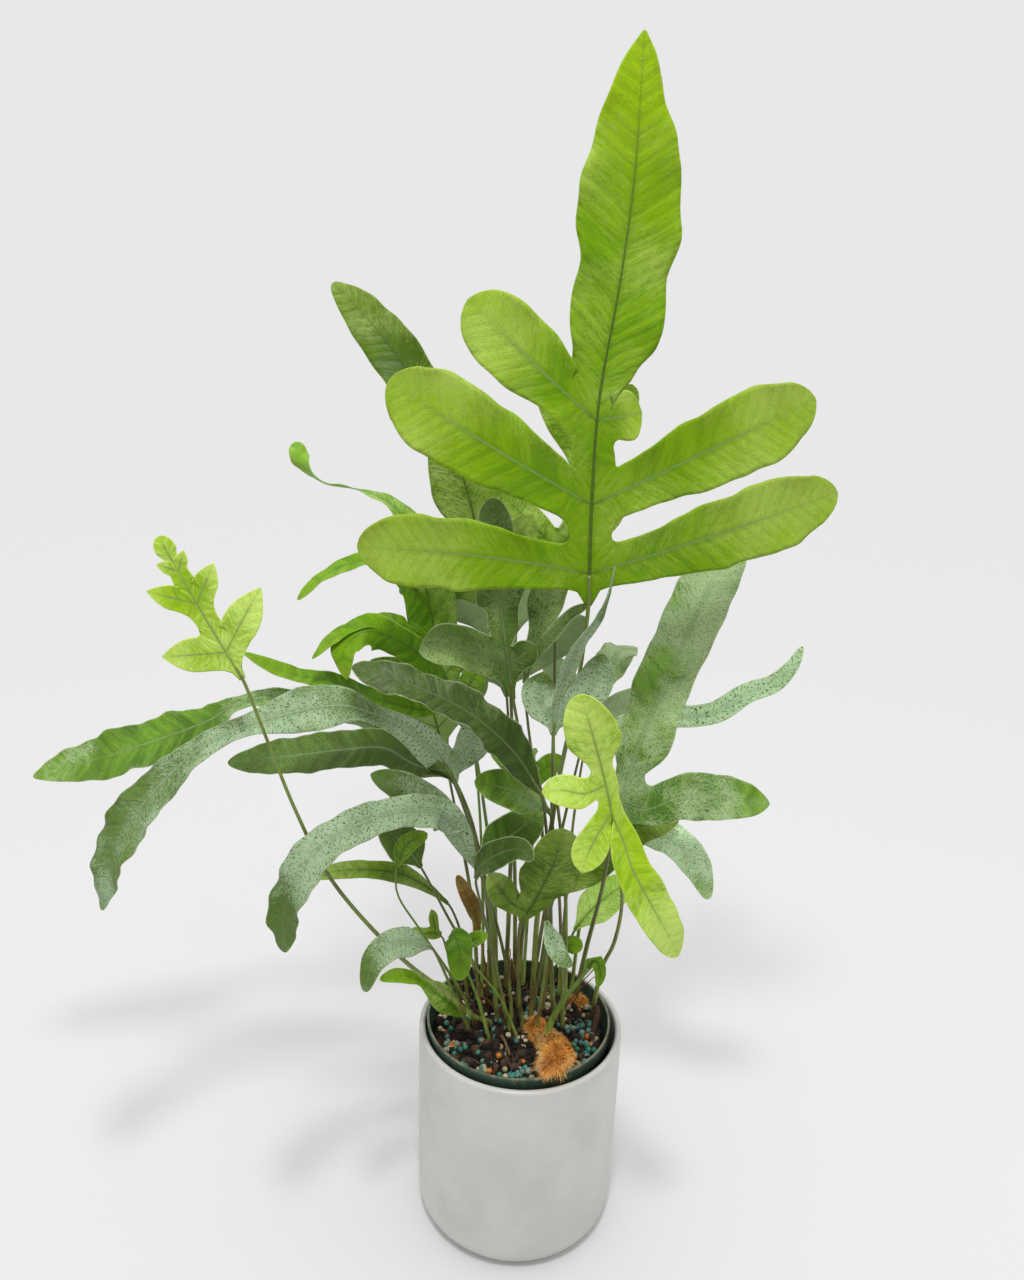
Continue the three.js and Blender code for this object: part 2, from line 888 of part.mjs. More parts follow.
function geometryOfSolid(solid) {
  const { numProp, numVert, vertProperties, triVerts } = solid.getMesh();
  const positions = new Float32Array(numVert * 3);
  for (let i = 0; i < numVert; i++) {
    positions.set(vertProperties.subarray(i * numProp, i * numProp + 3), i * 3);
  }
  const geometry = new THREE.BufferGeometry();
  geometry.setAttribute("position", new THREE.BufferAttribute(positions, 3));
  geometry.setIndex(new THREE.BufferAttribute(triVerts, 1));
  geometry.computeVertexNormals();
  return geometry;
}

// A closed tube through the given centres. radiusAt gives its radius at each ring, and ringScale its lumps.
function tube(centres, sides, radiusAt, ringScale = () => 1) {
  const last = centres.length - 1;
  const between = (i, j) => centres[Math.min(j, last)].clone().sub(centres[Math.max(i, 0)]).normalize();
  const points = [];
  const faces = [];
  let across = new THREE.Vector3(1, 0, 0);
  centres.forEach((centre, i) => {
    const along = between(i - 1, i + 1);
    across.addScaledVector(along, -across.dot(along)).normalize();
    const other = new THREE.Vector3().crossVectors(along, across);
    for (let k = 0; k < sides; k++) {
      const angle = (turn * k) / sides;
      const reach = radiusAt(i) * ringScale(i, k);
      const spoke = across.clone().multiplyScalar(Math.cos(angle)).addScaledVector(other, Math.sin(angle));
      points.push(centre.clone().addScaledVector(spoke, reach));
    }
  });
  const corner = (i, k) => i * sides + (k % sides);
  for (let i = 0; i < last; i++) {
    for (let k = 0; k < sides; k++) {
      faces.push([corner(i, k), corner(i, k + 1), corner(i + 1, k + 1)]);
      faces.push([corner(i, k), corner(i + 1, k + 1), corner(i + 1, k)]);
    }
  }
  for (let k = 1; k < sides - 1; k++) {
    faces.push([corner(0, 0), corner(0, k + 1), corner(0, k)]);
    faces.push([corner(last, 0), corner(last, k), corner(last, k + 1)]);
  }
  return geometryOf(points, faces);
}

// A closed lathe turned to stand along Z. The profile is [radius, height] points.
function lathe(profile, segments) {
  const geometry = new THREE.LatheGeometry(profile.map(([r, z]) => new THREE.Vector2(r, z)), segments);
  return geometry.rotateX(Math.PI / 2);
}

// Points of an arc in a lathe profile, without its first point.
function arc(radius, height, reach, from, to, steps) {
  return Array.from({ length: steps }, (_, i) => {
    const angle = radians(mix(from, to, (i + 1) / steps));
    return [radius + reach * Math.cos(angle), height + reach * Math.sin(angle)];
  });
}

// Pots

function outerPotSolid() {
  const { radius, height, wall, floor, footRound, rimRound, taper, segments } = outerPot;
  const foot = radius - taper;
  const inside = radius - wall;
  const profile = [
    [0, 0],
    [foot - footRound, 0],
    ...arc(foot - footRound, footRound, footRound, -90, 0, 5),
    [radius, height * 0.55],
    [radius, height - rimRound],
    ...arc(radius - rimRound, height - rimRound, rimRound, 0, 180, 5),
    [inside, height * 0.55],
    [inside - taper, floor + 6],
    [inside - taper - 6, floor],
    [0, floor],
  ];
  return solidOf(lathe(profile, segments));
}

function nurseryPotSolid() {
  const { radius, top, lipDepth, lipStep, bottomRadius, wall, segments } = nurseryPot;
  const bottom = outerPot.floor + gap;
  const body = radius - lipStep;
  const profile = [
    [0, bottom],
    [bottomRadius, bottom],
    [body, top - lipDepth],
    [radius, top - lipDepth + 0.8],
    [radius, top - 0.5],
    [radius - 0.5, top],
    [radius - wall, top],
    [body - wall - 0.2, top - lipDepth - 1],
    [bottomRadius - wall, bottom + wall],
    [0, bottom + wall],
  ];
  let pot = solidOf(lathe(profile, segments));
  const { drainHoles, drainRadius } = nurseryPot;
  const drain = new THREE.CylinderGeometry(drainRadius, drainRadius, 8, 8).rotateX(Math.PI / 2);
  for (let i = 0; i < drainHoles; i++) {
    const angle = (turn * i) / drainHoles;
    const reach = bottomRadius * 0.66;
    const hole = drain.clone().translate(reach * Math.cos(angle), reach * Math.sin(angle), bottom);
    pot = pot.subtract(solidOf(hole));
  }
  return pot.translate([...nurseryPot.centre, 0]);
}

// Soil

// A repeatable draw from 0 to 1, the same in every run.
function draws(seed) {
  let state = seed;
  return () => {
    state = (state * 16807) % 2147483647;
    return state / 2147483647;
  };
}

function soilHeight(x, y) {
  const { level, crown, clods, rings } = soil;
  const reach = Math.hypot(x, y) / rings.at(-1);
  const slanting = 0.6 * Math.sin(x * 0.13 - y * 0.42 + 2);
  const lumps = Math.sin(x * 0.31 + 1.3) * Math.cos(y * 0.27 - 0.6) + slanting;
  return level + crown * (1 - reach * reach) + clods * lumps * (1 - 0.5 * reach);
}

function soilSolid() {
  const { rings, segments, level } = soil;
  const bottom = outerPot.floor + gap + nurseryPot.wall + gap;
  const insideAt = (z) => {
    const { bottomRadius, radius, top, lipDepth, lipStep, wall } = nurseryPot;
    const share = (z - outerPot.floor) / (top - lipDepth - outerPot.floor);
    return mix(bottomRadius, radius - lipStep, share) - wall - 2 * gap;
  };
  const [midX, midY] = nurseryPot.centre;
  const points = [new THREE.Vector3(midX, midY, soilHeight(midX, midY))];
  const around = (reach, heightAt) => {
    for (let k = 0; k < segments; k++) {
      const angle = (turn * k) / segments;
      const [x, y] = [midX + reach * Math.cos(angle), midY + reach * Math.sin(angle)];
      points.push(new THREE.Vector3(x, y, heightAt(x, y)));
    }
  };
  rings.slice(1).forEach((reach) => around(reach, soilHeight));
  around(insideAt(level - 8), () => level - 8);
  around(insideAt(bottom), () => bottom);
  points.push(new THREE.Vector3(midX, midY, bottom));
  const corner = (ring, k) => 1 + ring * segments + (k % segments);
  const faces = [];
  const ringCount = rings.length + 1;
  for (let k = 0; k < segments; k++) {
    faces.push([0, corner(0, k), corner(0, k + 1)]);
    for (let ring = 0; ring < ringCount - 1; ring++) {
      faces.push(
        [corner(ring, k), corner(ring + 1, k), corner(ring + 1, k + 1)],
        [corner(ring, k), corner(ring + 1, k + 1), corner(ring, k + 1)],
      );
    }
    faces.push([points.length - 1, corner(ringCount - 1, k + 1), corner(ringCount - 1, k)]);
  }
  return solidOf(geometryOf(points, faces));
}

// Feed and perlite granules, which stand half out of the soil.
function granuleSolids() {
  const draw = draws(41);
  const made = [];
  while (made.length < soil.granules) {
    const angle = turn * draw();
    const reach = 47 * Math.sqrt(draw());
    const x = nurseryPot.centre[0] + reach * Math.cos(angle);
    const y = nurseryPot.centre[1] + reach * Math.sin(angle);
    const size = soil.granuleRadius * mix(0.75, 1.15, draw());
    const grain = new THREE.OctahedronGeometry(size).rotateX(draw() * 3);
    made.push(solidOf(grain.translate(x, y, soilHeight(x, y) + 0.3 * size)));
  }
  return made;
}

// Fronds

// The main rib's place and directions at a share of its length.
function ribFrame(frond, curve, share) {
  const point = curve.getPointAt(share);
  const along = curve.getTangentAt(share);
  const up = vec(frond.face).lerp(vec(frond.faceTip ?? frond.face), share);
  const face = up.addScaledVector(along, -up.dot(along)).normalize();
  return { point, along, face, across: new THREE.Vector3().crossVectors(along, face) };
}

// The frames along a lobe's own rib: a traced one follows its points, any other is bent step by step.
function lobeFrames(start, side, lobe) {
  if (lobe.way) {
    const curve = new THREE.CatmullRomCurve3([start.point, ...lobe.way.map(vec)], false, "centripetal");
    return {
      length: curve.getLength(),
      frameAt: (share) => {
        const out = curve.getTangentAt(share);
        const face = start.face.clone().lerp(vec(lobe.face).normalize(), smooth(share * 1.6));
        face.addScaledVector(out, -face.dot(out)).normalize();
        const distal = new THREE.Vector3().crossVectors(face, out).multiplyScalar(side);
        return { point: curve.getPointAt(share), out, face, distal };
      },
    };
  }
  const { angle, length, droop, sweep, twist } = lobe;
  const steps = 12;
  const turnBy = radians(angle);
  const out = start.along.clone().multiplyScalar(Math.cos(turnBy));
  out.addScaledVector(start.across, side * Math.sin(turnBy));
  const face = start.face.clone();
  const distal = new THREE.Vector3().crossVectors(face, out).multiplyScalar(side);
  const point = start.point.clone();
  const frames = [{ point: point.clone(), out: out.clone(), face: face.clone(), distal: distal.clone() }];
  const rotate = (a, b, degrees) => {
    const angleStep = radians(degrees) / steps;
    const first = a.clone();
    a.multiplyScalar(Math.cos(angleStep)).addScaledVector(b, Math.sin(angleStep));
    b.multiplyScalar(Math.cos(angleStep)).addScaledVector(first, -Math.sin(angleStep));
  };
  for (let i = 0; i < steps; i++) {
    point.addScaledVector(out, length / steps);
    rotate(out, face, -droop);
    rotate(out, distal, sweep);
    rotate(face, distal, twist);
    frames.push({ point: point.clone(), out: out.clone(), face: face.clone(), distal: distal.clone() });
  }
  const frameAt = (share) => {
    const at = Math.min(share, 1) * steps;
    const low = Math.min(Math.floor(at), steps - 1);
    const blend = (key) => frames[low][key].clone().lerp(frames[low + 1][key], at - low);
    return { point: blend("point"), out: blend("out"), face: blend("face"), distal: blend("distal") };
  };
  return { length, frameAt };
}

// Half width of a lobe at a share of its length, for a whole width of 2.
function lobeProfile(share, neck, widest, round) {
  if (share <= widest) return mix(neck, 1, smooth(share / widest));
  const rest = (share - widest) / (1.03 - widest);
  return (1 - rest ** round) ** (round > 2 ? 0.5 : 0.72);
}

// Margins rise over the midrib and wave up and down.
function lift(frond, halfWidth, across, distance, phase) {
  const wave = frond.wave * Math.sin((turn * distance) / blade.waveLength + phase + (across > 0 ? 0 : 2.1));
  return across * across * (blade.fold * halfWidth + wave * Math.min(1, halfWidth / 12));
}

// The rows of one lobe after its foot on the rib. ends: the two points where its margins leave the
// main part.
function lobeRows(frond, start, side, lobe, ends, wing, phase) {
  const { length, frameAt } = lobeFrames(start, side, lobe);
  const small = length < 32;
  const neck = small ? 0.42 : Math.min(blade.neck, 24 / length);
  const margins = (share) => {
    const { point, out, distal, face } = frameAt(share);
    const half = (lobe.width / 2) * lobeProfile(share, 0.72, 0.6, 2.3);
    const lead = 0.3 * half * share ** 3;
    return [-1, 1].map((s) =>
      point
        .clone()
        .addScaledVector(distal, s * half)
        .addScaledVector(out, -lead)
        .addScaledVector(face, lift(frond, half, s, share * length, phase)),
    );
  };
  const neckMargins = margins(neck);
  const bends = ends.map((end, e) => {
    const reach = end.distanceTo(neckMargins[e]) * 0.42;
    const leave = end.clone().addScaledVector(start.along, (e === 0 ? 1 : -1) * reach);
    const arrive = neckMargins[e].clone().addScaledVector(frameAt(neck).out, -reach);
    return new THREE.CubicBezierCurve3(end, leave, arrive, neckMargins[e]);
  });
  const first = Math.min(wing / length, neck * 0.5);
  const rows = [[ends[0], frameAt(first).point, ends[1]]];
  const bent = frond.fine ? [0.33, 0.67] : [0.5];
  bent.forEach((at) => {
    rows.push([bends[0].getPoint(at), frameAt(mix(first, neck, at)).point, bends[1].getPoint(at)]);
  });
  rows.push([neckMargins[0], frameAt(neck).point, neckMargins[1]]);
  const middling = frond.fine ? [0.52, 0.74, 0.9, 1] : [0.55, 0.82, 1];
  const shares = small ? [0.75, 1] : length > 60 ? [0.48, 0.67, 0.86, 1] : middling;
  shares.forEach((share) => {
    const [near, far] = margins(share);
    rows.push([near, frameAt(share).point, far]);
  });
  return rows;
}

// Half widths of the end lobe as [share of the rib, left, right].
function endOutline(frond, from, length, foot) {
  if (frond.outline) return frond.outline;
  const long = [0.09, 0.22, 0.36, 0.5, 0.64, 0.78, 0.9, 1];
  const stops = length > 110 ? long : length > 60 ? [0.12, 0.3, 0.5, 0.7, 0.87, 1] : [0.18, 0.45, 0.75, 1];
  return stops.map((share) => {
    const half = (frond.width / 2) * lobeProfile(share, Math.min(foot / (frond.width / 2), 1), 0.42, 2.2);
    return [mix(from, 1, share), half, half];
  });
}

// The blade's middle surface as patches of rows. A row is three points: margin, midrib, margin.
function bladePatches(frond, curve) {
  const patches = [];
  const bounds = [0, ...frond.pairs.map((pair) => pair.to)];
  const wings = [1.3, ...frond.pairs.map((pair) => pair.wing ?? frond.wing)];
  const sinus = (k, side) => {
    const { point, across, along } = ribFrame(frond, curve, bounds[k]);
    const ahead = k === 0 ? 0 : wings[k] * 0.2;
    return point.addScaledVector(across, side * wings[k]).addScaledVector(along, ahead);
  };
  frond.pairs.forEach((pair, i) => {
    const shares = [bounds[i], (bounds[i] + bounds[i + 1]) / 2, bounds[i + 1]];
    const ribRow = shares.map((share) => ribFrame(frond, curve, share).point);
    [["left", -1], ["right", 1]].forEach(([key, side]) => {
      const start = ribFrame(frond, curve, shares[1]);
      const ends = [sinus(i, side), sinus(i + 1, side)];
      const margin = ends[0].clone().lerp(ends[1], 0.5).addScaledVector(start.across, side * 0.8);
      const plain = [[ends[0], margin, ends[1]]];
      const rows = pair[key] ? lobeRows(frond, start, side, pair[key], ends, wings[i + 1], i * 1.3) : plain;
      patches.push({ rows: [ribRow, ...rows], flip: side < 0 });
    });
  });
  const last = bounds.length - 1;
  const rows = [[sinus(last, -1), ribFrame(frond, curve, bounds[last]).point, sinus(last, 1)]];
  const length = curve.getLength() * (1 - bounds[last]);
  endOutline(frond, bounds[last], length, wings[last]).forEach(([share, left, right]) => {
    const { point, across, face, along } = ribFrame(frond, curve, share);
    const place = (s, half) =>
      point
        .clone()
        .addScaledVector(across, s * half)
        .addScaledVector(along, share > 0.99 ? -0.3 * half : 0)
        .addScaledVector(face, lift(frond, half, s, share * length, 0.7));
    rows.push([place(-1, left), point, place(1, right)]);
  });
  patches.push({ rows, flip: true, along: true });
  return patches;
}

// Turns the patches into one closed thin solid, with the same triangles on both faces.
function bladeSolid(frond, curve) {
  const points = [];
  const halves = [];
  const known = new Map();
  const vertex = (p, half) => {
    const key = p.toArray().map((v) => Math.round(v * 1e3)).join();
    if (!known.has(key)) {
      known.set(key, points.length);
      points.push(p);
      halves.push(half);
    }
    return known.get(key);
  };
  const faces = [];
  bladePatches(frond, curve).forEach(({ rows, flip, along }) => {
    const ids = rows.map((row, r) =>
      row.map((p, c) => {
        const onRib = along ? c === 1 : r === 0;
        const taper = along ? mix(1, 0.55, r / rows.length) : 1;
        return vertex(p, onRib ? blade.rachis * frond.thick * taper : c === 1 ? blade.vein : blade.edge);
      }),
    );
    for (let r = 0; r < ids.length - 1; r++) {
      for (let c = 0; c < 2; c++) {
        const [a, b, d, e] = [ids[r][c], ids[r][c + 1], ids[r + 1][c + 1], ids[r + 1][c]];
        // The diagonal mirrors on the two sides of the midrib.
        const pair = c === 0 ? [[a, b, e], [b, d, e]] : [[a, b, d], [a, d, e]];
        faces.push(...pair.map((face) => (flip ? face : face.reverse())));
      }
    }
  });
  const real = faces.filter(([a, b, c]) => a !== b && b !== c && a !== c);
  const normals = points.map(() => new THREE.Vector3());
  real.forEach((face) => {
    const [a, b, c] = face.map((i) => points[i]);
    const normal = new THREE.Vector3().crossVectors(b.clone().sub(a), c.clone().sub(a));
    face.forEach((i) => normals[i].add(normal));
  });
  normals.forEach((n) => n.normalize());
  const shell = [
    ...points.map((p, i) => p.clone().addScaledVector(normals[i], halves[i])),
    ...points.map((p, i) => p.clone().addScaledVector(normals[i], -halves[i])),
  ];
  const under = points.length;
  const edges = new Map();
  real.forEach(([a, b, c]) => [[a, b], [b, c], [c, a]].forEach(([p, q]) => edges.set(p + "," + q, [p, q])));
  const walls = [...edges.values()]
    .filter(([p, q]) => !edges.has(q + "," + p))
    .flatMap(([p, q]) => [[q, p, p + under], [q, p + under, q + under]]);
  const underside = real.map(([a, b, c]) => [a + under, c + under, b + under]);
  return solidOf(geometryOf(shell, [...real, ...underside, ...walls]));
}

function footLevel(frond) {
  return frond.footLevel ?? soilHeight(...frond.foot);
}

// The rings of a stalk: straight up out of the soil, then along its curve into the blade.
function stalkCentres(frond, rib) {
  const [x, y] = frond.foot;
  const level = footLevel(frond);
  const way = [[x, y, level + 2.5], ...frond.stalk, frond.rib[0]].map(vec);
  const curve = new THREE.CatmullRomCurve3([...way, rib.getPointAt(0.05)], false, "centripetal");
  const steps = Math.max(5, Math.round(curve.getLength() / 27));
  return [new THREE.Vector3(x, y, level - soil.holeDepth + 1), ...curve.getSpacedPoints(steps)];
}

function stalkRadius(frond, share) {
  return frond.thick * mix(1.75, 0.95, Math.min(1, share * 1.15));
}

function frondSolid(frond) {
  const rib = new THREE.CatmullRomCurve3(frond.rib.map(vec), false, "centripetal");
  const centres = stalkCentres(frond, rib);
  const stem = solidOf(tube(centres, 5, (i) => stalkRadius(frond, i / (centres.length - 1))));
  return stem.add(bladeSolid(frond, rib)).simplify(0.02);
}

// The hole in soil or rhizome that a stalk stands in.
function footHole(frond) {
  const reach = (stalkRadius(frond, 0) + soil.holeClearance) * 1.12;
  const hole = new THREE.CylinderGeometry(reach, reach, 40, 6).rotateX(Math.PI / 2);
  return solidOf(hole.translate(...frond.foot, footLevel(frond) - soil.holeDepth + 20));
}

// Rhizomes and litter

function rhizomeSolid({ points, radii, sides, steps }, extra = 0) {
  const curve = new THREE.CatmullRomCurve3(points.map(vec), false, "centripetal");
  const radiusAt = (i) => {
    const share = i / steps;
    const at = share * (radii.length - 1);
    const low = Math.min(Math.floor(at), radii.length - 2);
    const ends = Math.sqrt(Math.max(0.12, 1 - (2 * share - 1) ** 8));
    return mix(radii[low], radii[low + 1], smooth(at - low)) * ends + extra;
  };
  const scales = (i, k) => 1 + 0.11 * Math.sin(2.3 * i + 1.9 * k) + 0.05 * Math.cos(3.1 * k - i);
  return solidOf(tube(curve.getSpacedPoints(steps), sides, radiusAt, scales));
}

function litterSolid({ points, radius }, extra = 0) {
  const curve = new THREE.CatmullRomCurve3(points.map(vec), false, "centripetal");
  return solidOf(tube(curve.getSpacedPoints(6), 5, (i) => radius * (1 - 0.06 * i) + extra));
}

// Assembly

const fern = new THREE.Group();
const place = (name, solid, material) => {
  const mesh = new THREE.Mesh(geometryOfSolid(solid), material);
  mesh.name = name;
  fern.add(mesh);
};

place("ceramic_pot", outerPotSolid(), paint.ceramic);
place("nursery_pot", nurseryPotSolid(), paint.nursery);

const allFronds = [...fronds, youngFrond];
let ground = soilSolid();
granuleSolids().forEach((grain) => (ground = ground.add(grain)));
rhizomes.forEach((rhizome) => (ground = ground.subtract(rhizomeSolid(rhizome, gap))));
litter.forEach((stick) => (ground = ground.subtract(litterSolid(stick, gap))));
fronds.forEach((frond) => (ground = ground.subtract(footHole(frond))));
const biggest = ground.decompose().sort((a, b) => b.volume() - a.volume())[0];
place("soil", biggest.simplify(0.05), paint.soil);

rhizomes.forEach((rhizome) => {
  let solid = rhizomeSolid(rhizome);
  allFronds.forEach((frond) => (solid = solid.subtract(footHole(frond))));
  place(rhizome.name, solid.simplify(0.02), paint.rhizome);
});
litter.forEach((stick) => place(stick.name, litterSolid(stick), paint.dry));
allFronds.forEach((frond) => place(frond.name, frondSolid(frond), paint[frond.colour]));

export default fern;
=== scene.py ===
import json
import math
import random

import bmesh
import bpy
import numpy as np
from mathutils import Matrix, Vector, noise


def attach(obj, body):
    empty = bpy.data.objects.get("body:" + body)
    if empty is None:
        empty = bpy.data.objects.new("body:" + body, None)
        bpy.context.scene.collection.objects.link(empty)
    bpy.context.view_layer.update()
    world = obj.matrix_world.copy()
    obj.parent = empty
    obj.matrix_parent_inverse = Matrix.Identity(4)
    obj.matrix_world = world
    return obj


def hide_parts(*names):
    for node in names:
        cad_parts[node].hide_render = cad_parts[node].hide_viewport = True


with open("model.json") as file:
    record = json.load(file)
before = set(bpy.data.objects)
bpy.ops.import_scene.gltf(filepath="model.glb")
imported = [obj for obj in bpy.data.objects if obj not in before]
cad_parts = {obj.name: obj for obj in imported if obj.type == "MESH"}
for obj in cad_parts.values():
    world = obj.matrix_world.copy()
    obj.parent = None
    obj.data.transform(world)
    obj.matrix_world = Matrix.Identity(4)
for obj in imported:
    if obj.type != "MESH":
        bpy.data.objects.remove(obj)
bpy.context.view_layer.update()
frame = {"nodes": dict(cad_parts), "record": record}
print("frame loaded with", len(frame["nodes"]), "nodes")

mm = 0.001  # tables below are in millimetres, the scene in metres


# Camera, where the photograph was taken from

cameraSetup = {
    "place": (-30, -490, 510),
    "yaw": 2.0,          # degrees, to the right
    "pitch": 16.8,       # downwards
    "roll": 2.0,
    "focalPixels": 975,  # in a frame 1280 pixels high
    "frameHigh": 1280,
    "sensor": 36,
    "clip": (0.01, 60),  # metres
}


def makeCamera(setup):
    data = bpy.data.cameras.new("photoCamera")
    data.sensor_width = setup["sensor"]
    data.lens = setup["focalPixels"] / setup["frameHigh"] * setup["sensor"]
    data.clip_start, data.clip_end = setup["clip"]
    yaw, pitch, roll = (math.radians(setup[key]) for key in ("yaw", "pitch", "roll"))
    forward = Vector((math.sin(yaw) * math.cos(pitch), math.cos(yaw) * math.cos(pitch), -math.sin(pitch)))
    level = Vector((math.cos(yaw), -math.sin(yaw), 0))
    above = level.cross(forward)
    right = level * math.cos(roll) + above * math.sin(roll)
    up = above * math.cos(roll) - level * math.sin(roll)
    camera = bpy.data.objects.new("photoCamera", data)
    looking = Matrix((right, up, -forward)).transposed().to_4x4()
    camera.matrix_world = Matrix.Translation(Vector(setup["place"]) * mm) @ looking
    bpy.context.scene.collection.objects.link(camera)
    bpy.context.scene.camera = camera


makeCamera(cameraSetup)
print("camera ready")


# Colours and node helpers

def hexColour(code):  # by the usual sRGB curve
    parts = [int(code[i:i + 2], 16) / 255 for i in (0, 2, 4)]
    linear = [p / 12.92 if p <= 0.04045 else ((p + 0.055) / 1.055) ** 2.4 for p in parts]
    return (*linear, 1.0)


def freshMaterial(name):
    material = bpy.data.materials.new(name)
    material.use_nodes = True
    tree = material.node_tree
    tree.nodes.clear()
    output = tree.nodes.new("ShaderNodeOutputMaterial")
    shader = tree.nodes.new("ShaderNodeBsdfPrincipled")
    tree.links.new(shader.outputs[0], output.inputs[0])
    return material, tree, shader


def feed(tree, socket, value):  # a link from another node, or a plain value
    if isinstance(value, bpy.types.NodeSocket):
        tree.links.new(value, socket)
    elif isinstance(value, str):
        socket.default_value = hexColour(value)
    else:
        socket.default_value = value


def maths(tree, operation, a, b):
    node = tree.nodes.new("ShaderNodeMath")
    node.operation = operation
    feed(tree, node.inputs[0], a)
    feed(tree, node.inputs[1], b)
    return node.outputs[0]


def times(tree, a, b):
    return maths(tree, "MULTIPLY", a, b)


def total(tree, *parts):
    whole = parts[0]
    for part in parts[1:]:
        whole = maths(tree, "ADD", whole, part)
    return whole


def rise(tree, value, low, high, atLow=0.0, atHigh=1.0):  # smooth step between two values
    node = tree.nodes.new("ShaderNodeMapRange")
    node.interpolation_type = "SMOOTHSTEP"
    feed(tree, node.inputs[0], value)
    for socket, number in zip(node.inputs[1:5], (low, high, atLow, atHigh)):
        feed(tree, socket, number)
    return node.outputs[0]


def blend(tree, share, a, b):
    node = tree.nodes.new("ShaderNodeMix")
    node.data_type = "RGBA"
    feed(tree, node.inputs[0], share)
    feed(tree, node.inputs[6], a)
    feed(tree, node.inputs[7], b)
    return node.outputs[2]


def coats(tree, colour, *layers):  # each layer is its share and its colour, over those before it
    for share, over in layers:
        colour = blend(tree, share, colour, over)
    return colour


def cloud(tree, where, scale, detail, rough=0.55):
    node = tree.nodes.new("ShaderNodeTexNoise")
    feed(tree, node.inputs["Vector"], where)
    for key, number in (("Scale", scale), ("Detail", detail), ("Roughness", rough)):
        node.inputs[key].default_value = number
    return node.outputs[0]


def blotches(tree, where, scale, detail, low, high, most=1.0, rough=0.55, least=0.0):
    return rise(tree, cloud(tree, where, scale, detail, rough), low, high, least, most)


def objectPlace(tree):
    return tree.nodes.new("ShaderNodeTexCoord").outputs["Object"]


def meshValue(tree, name, output="Vector"):
    node = tree.nodes.new("ShaderNodeAttribute")
    node.attribute_name = name
    return node.outputs[output]


def split(tree, vector):
    node = tree.nodes.new("ShaderNodeSeparateXYZ")
    feed(tree, node.inputs[0], vector)
    return node.outputs[0], node.outputs[1], node.outputs[2]


def join(tree, x, y, z=0.0):
    node = tree.nodes.new("ShaderNodeCombineXYZ")
    for socket, value in zip(node.inputs, (x, y, z)):
        feed(tree, socket, value)
    return node.outputs[0]


def setShader(tree, shader, values):  # colours, numbers and links, by the names of the sockets
    for key, value in values.items():
        feed(tree, shader.inputs[key], value)


def relief(tree, shader, height, depth, strength):  # bump of the given depth in metres
    node = tree.nodes.new("ShaderNodeBump")
    node.inputs["Strength"].default_value = strength
    node.inputs["Distance"].default_value = depth
    feed(tree, node.inputs["Height"], height)
    tree.links.new(node.outputs[0], shader.inputs["Normal"])


# Light and floor

studio = {
    "seen": 0.807,        # the pale backdrop, as the camera sees it
    "skyTop": 1.16,
    "skyLow": 0.45,
    "skyBand": (-0.1, 0.9),  # heights between which it brightens, 1 is overhead
    "lampPlace": (-42, -400, 964),
    "lampWidth": 95,      # a wider lamp makes softer shadows
    "lampPower": 3.1,
    "lampAim": (0, 0, 200),
    "floorNear": 0.69,    # albedo under the lamp, and far off where only the sky lights it
    "floorFar": 0.8,
    "lampTrim": 1.25,     # how much of the lamp's fall-off the floor makes up for
    "floorRough": 0.9,
    "floorReach": 40.0,   # metres
}


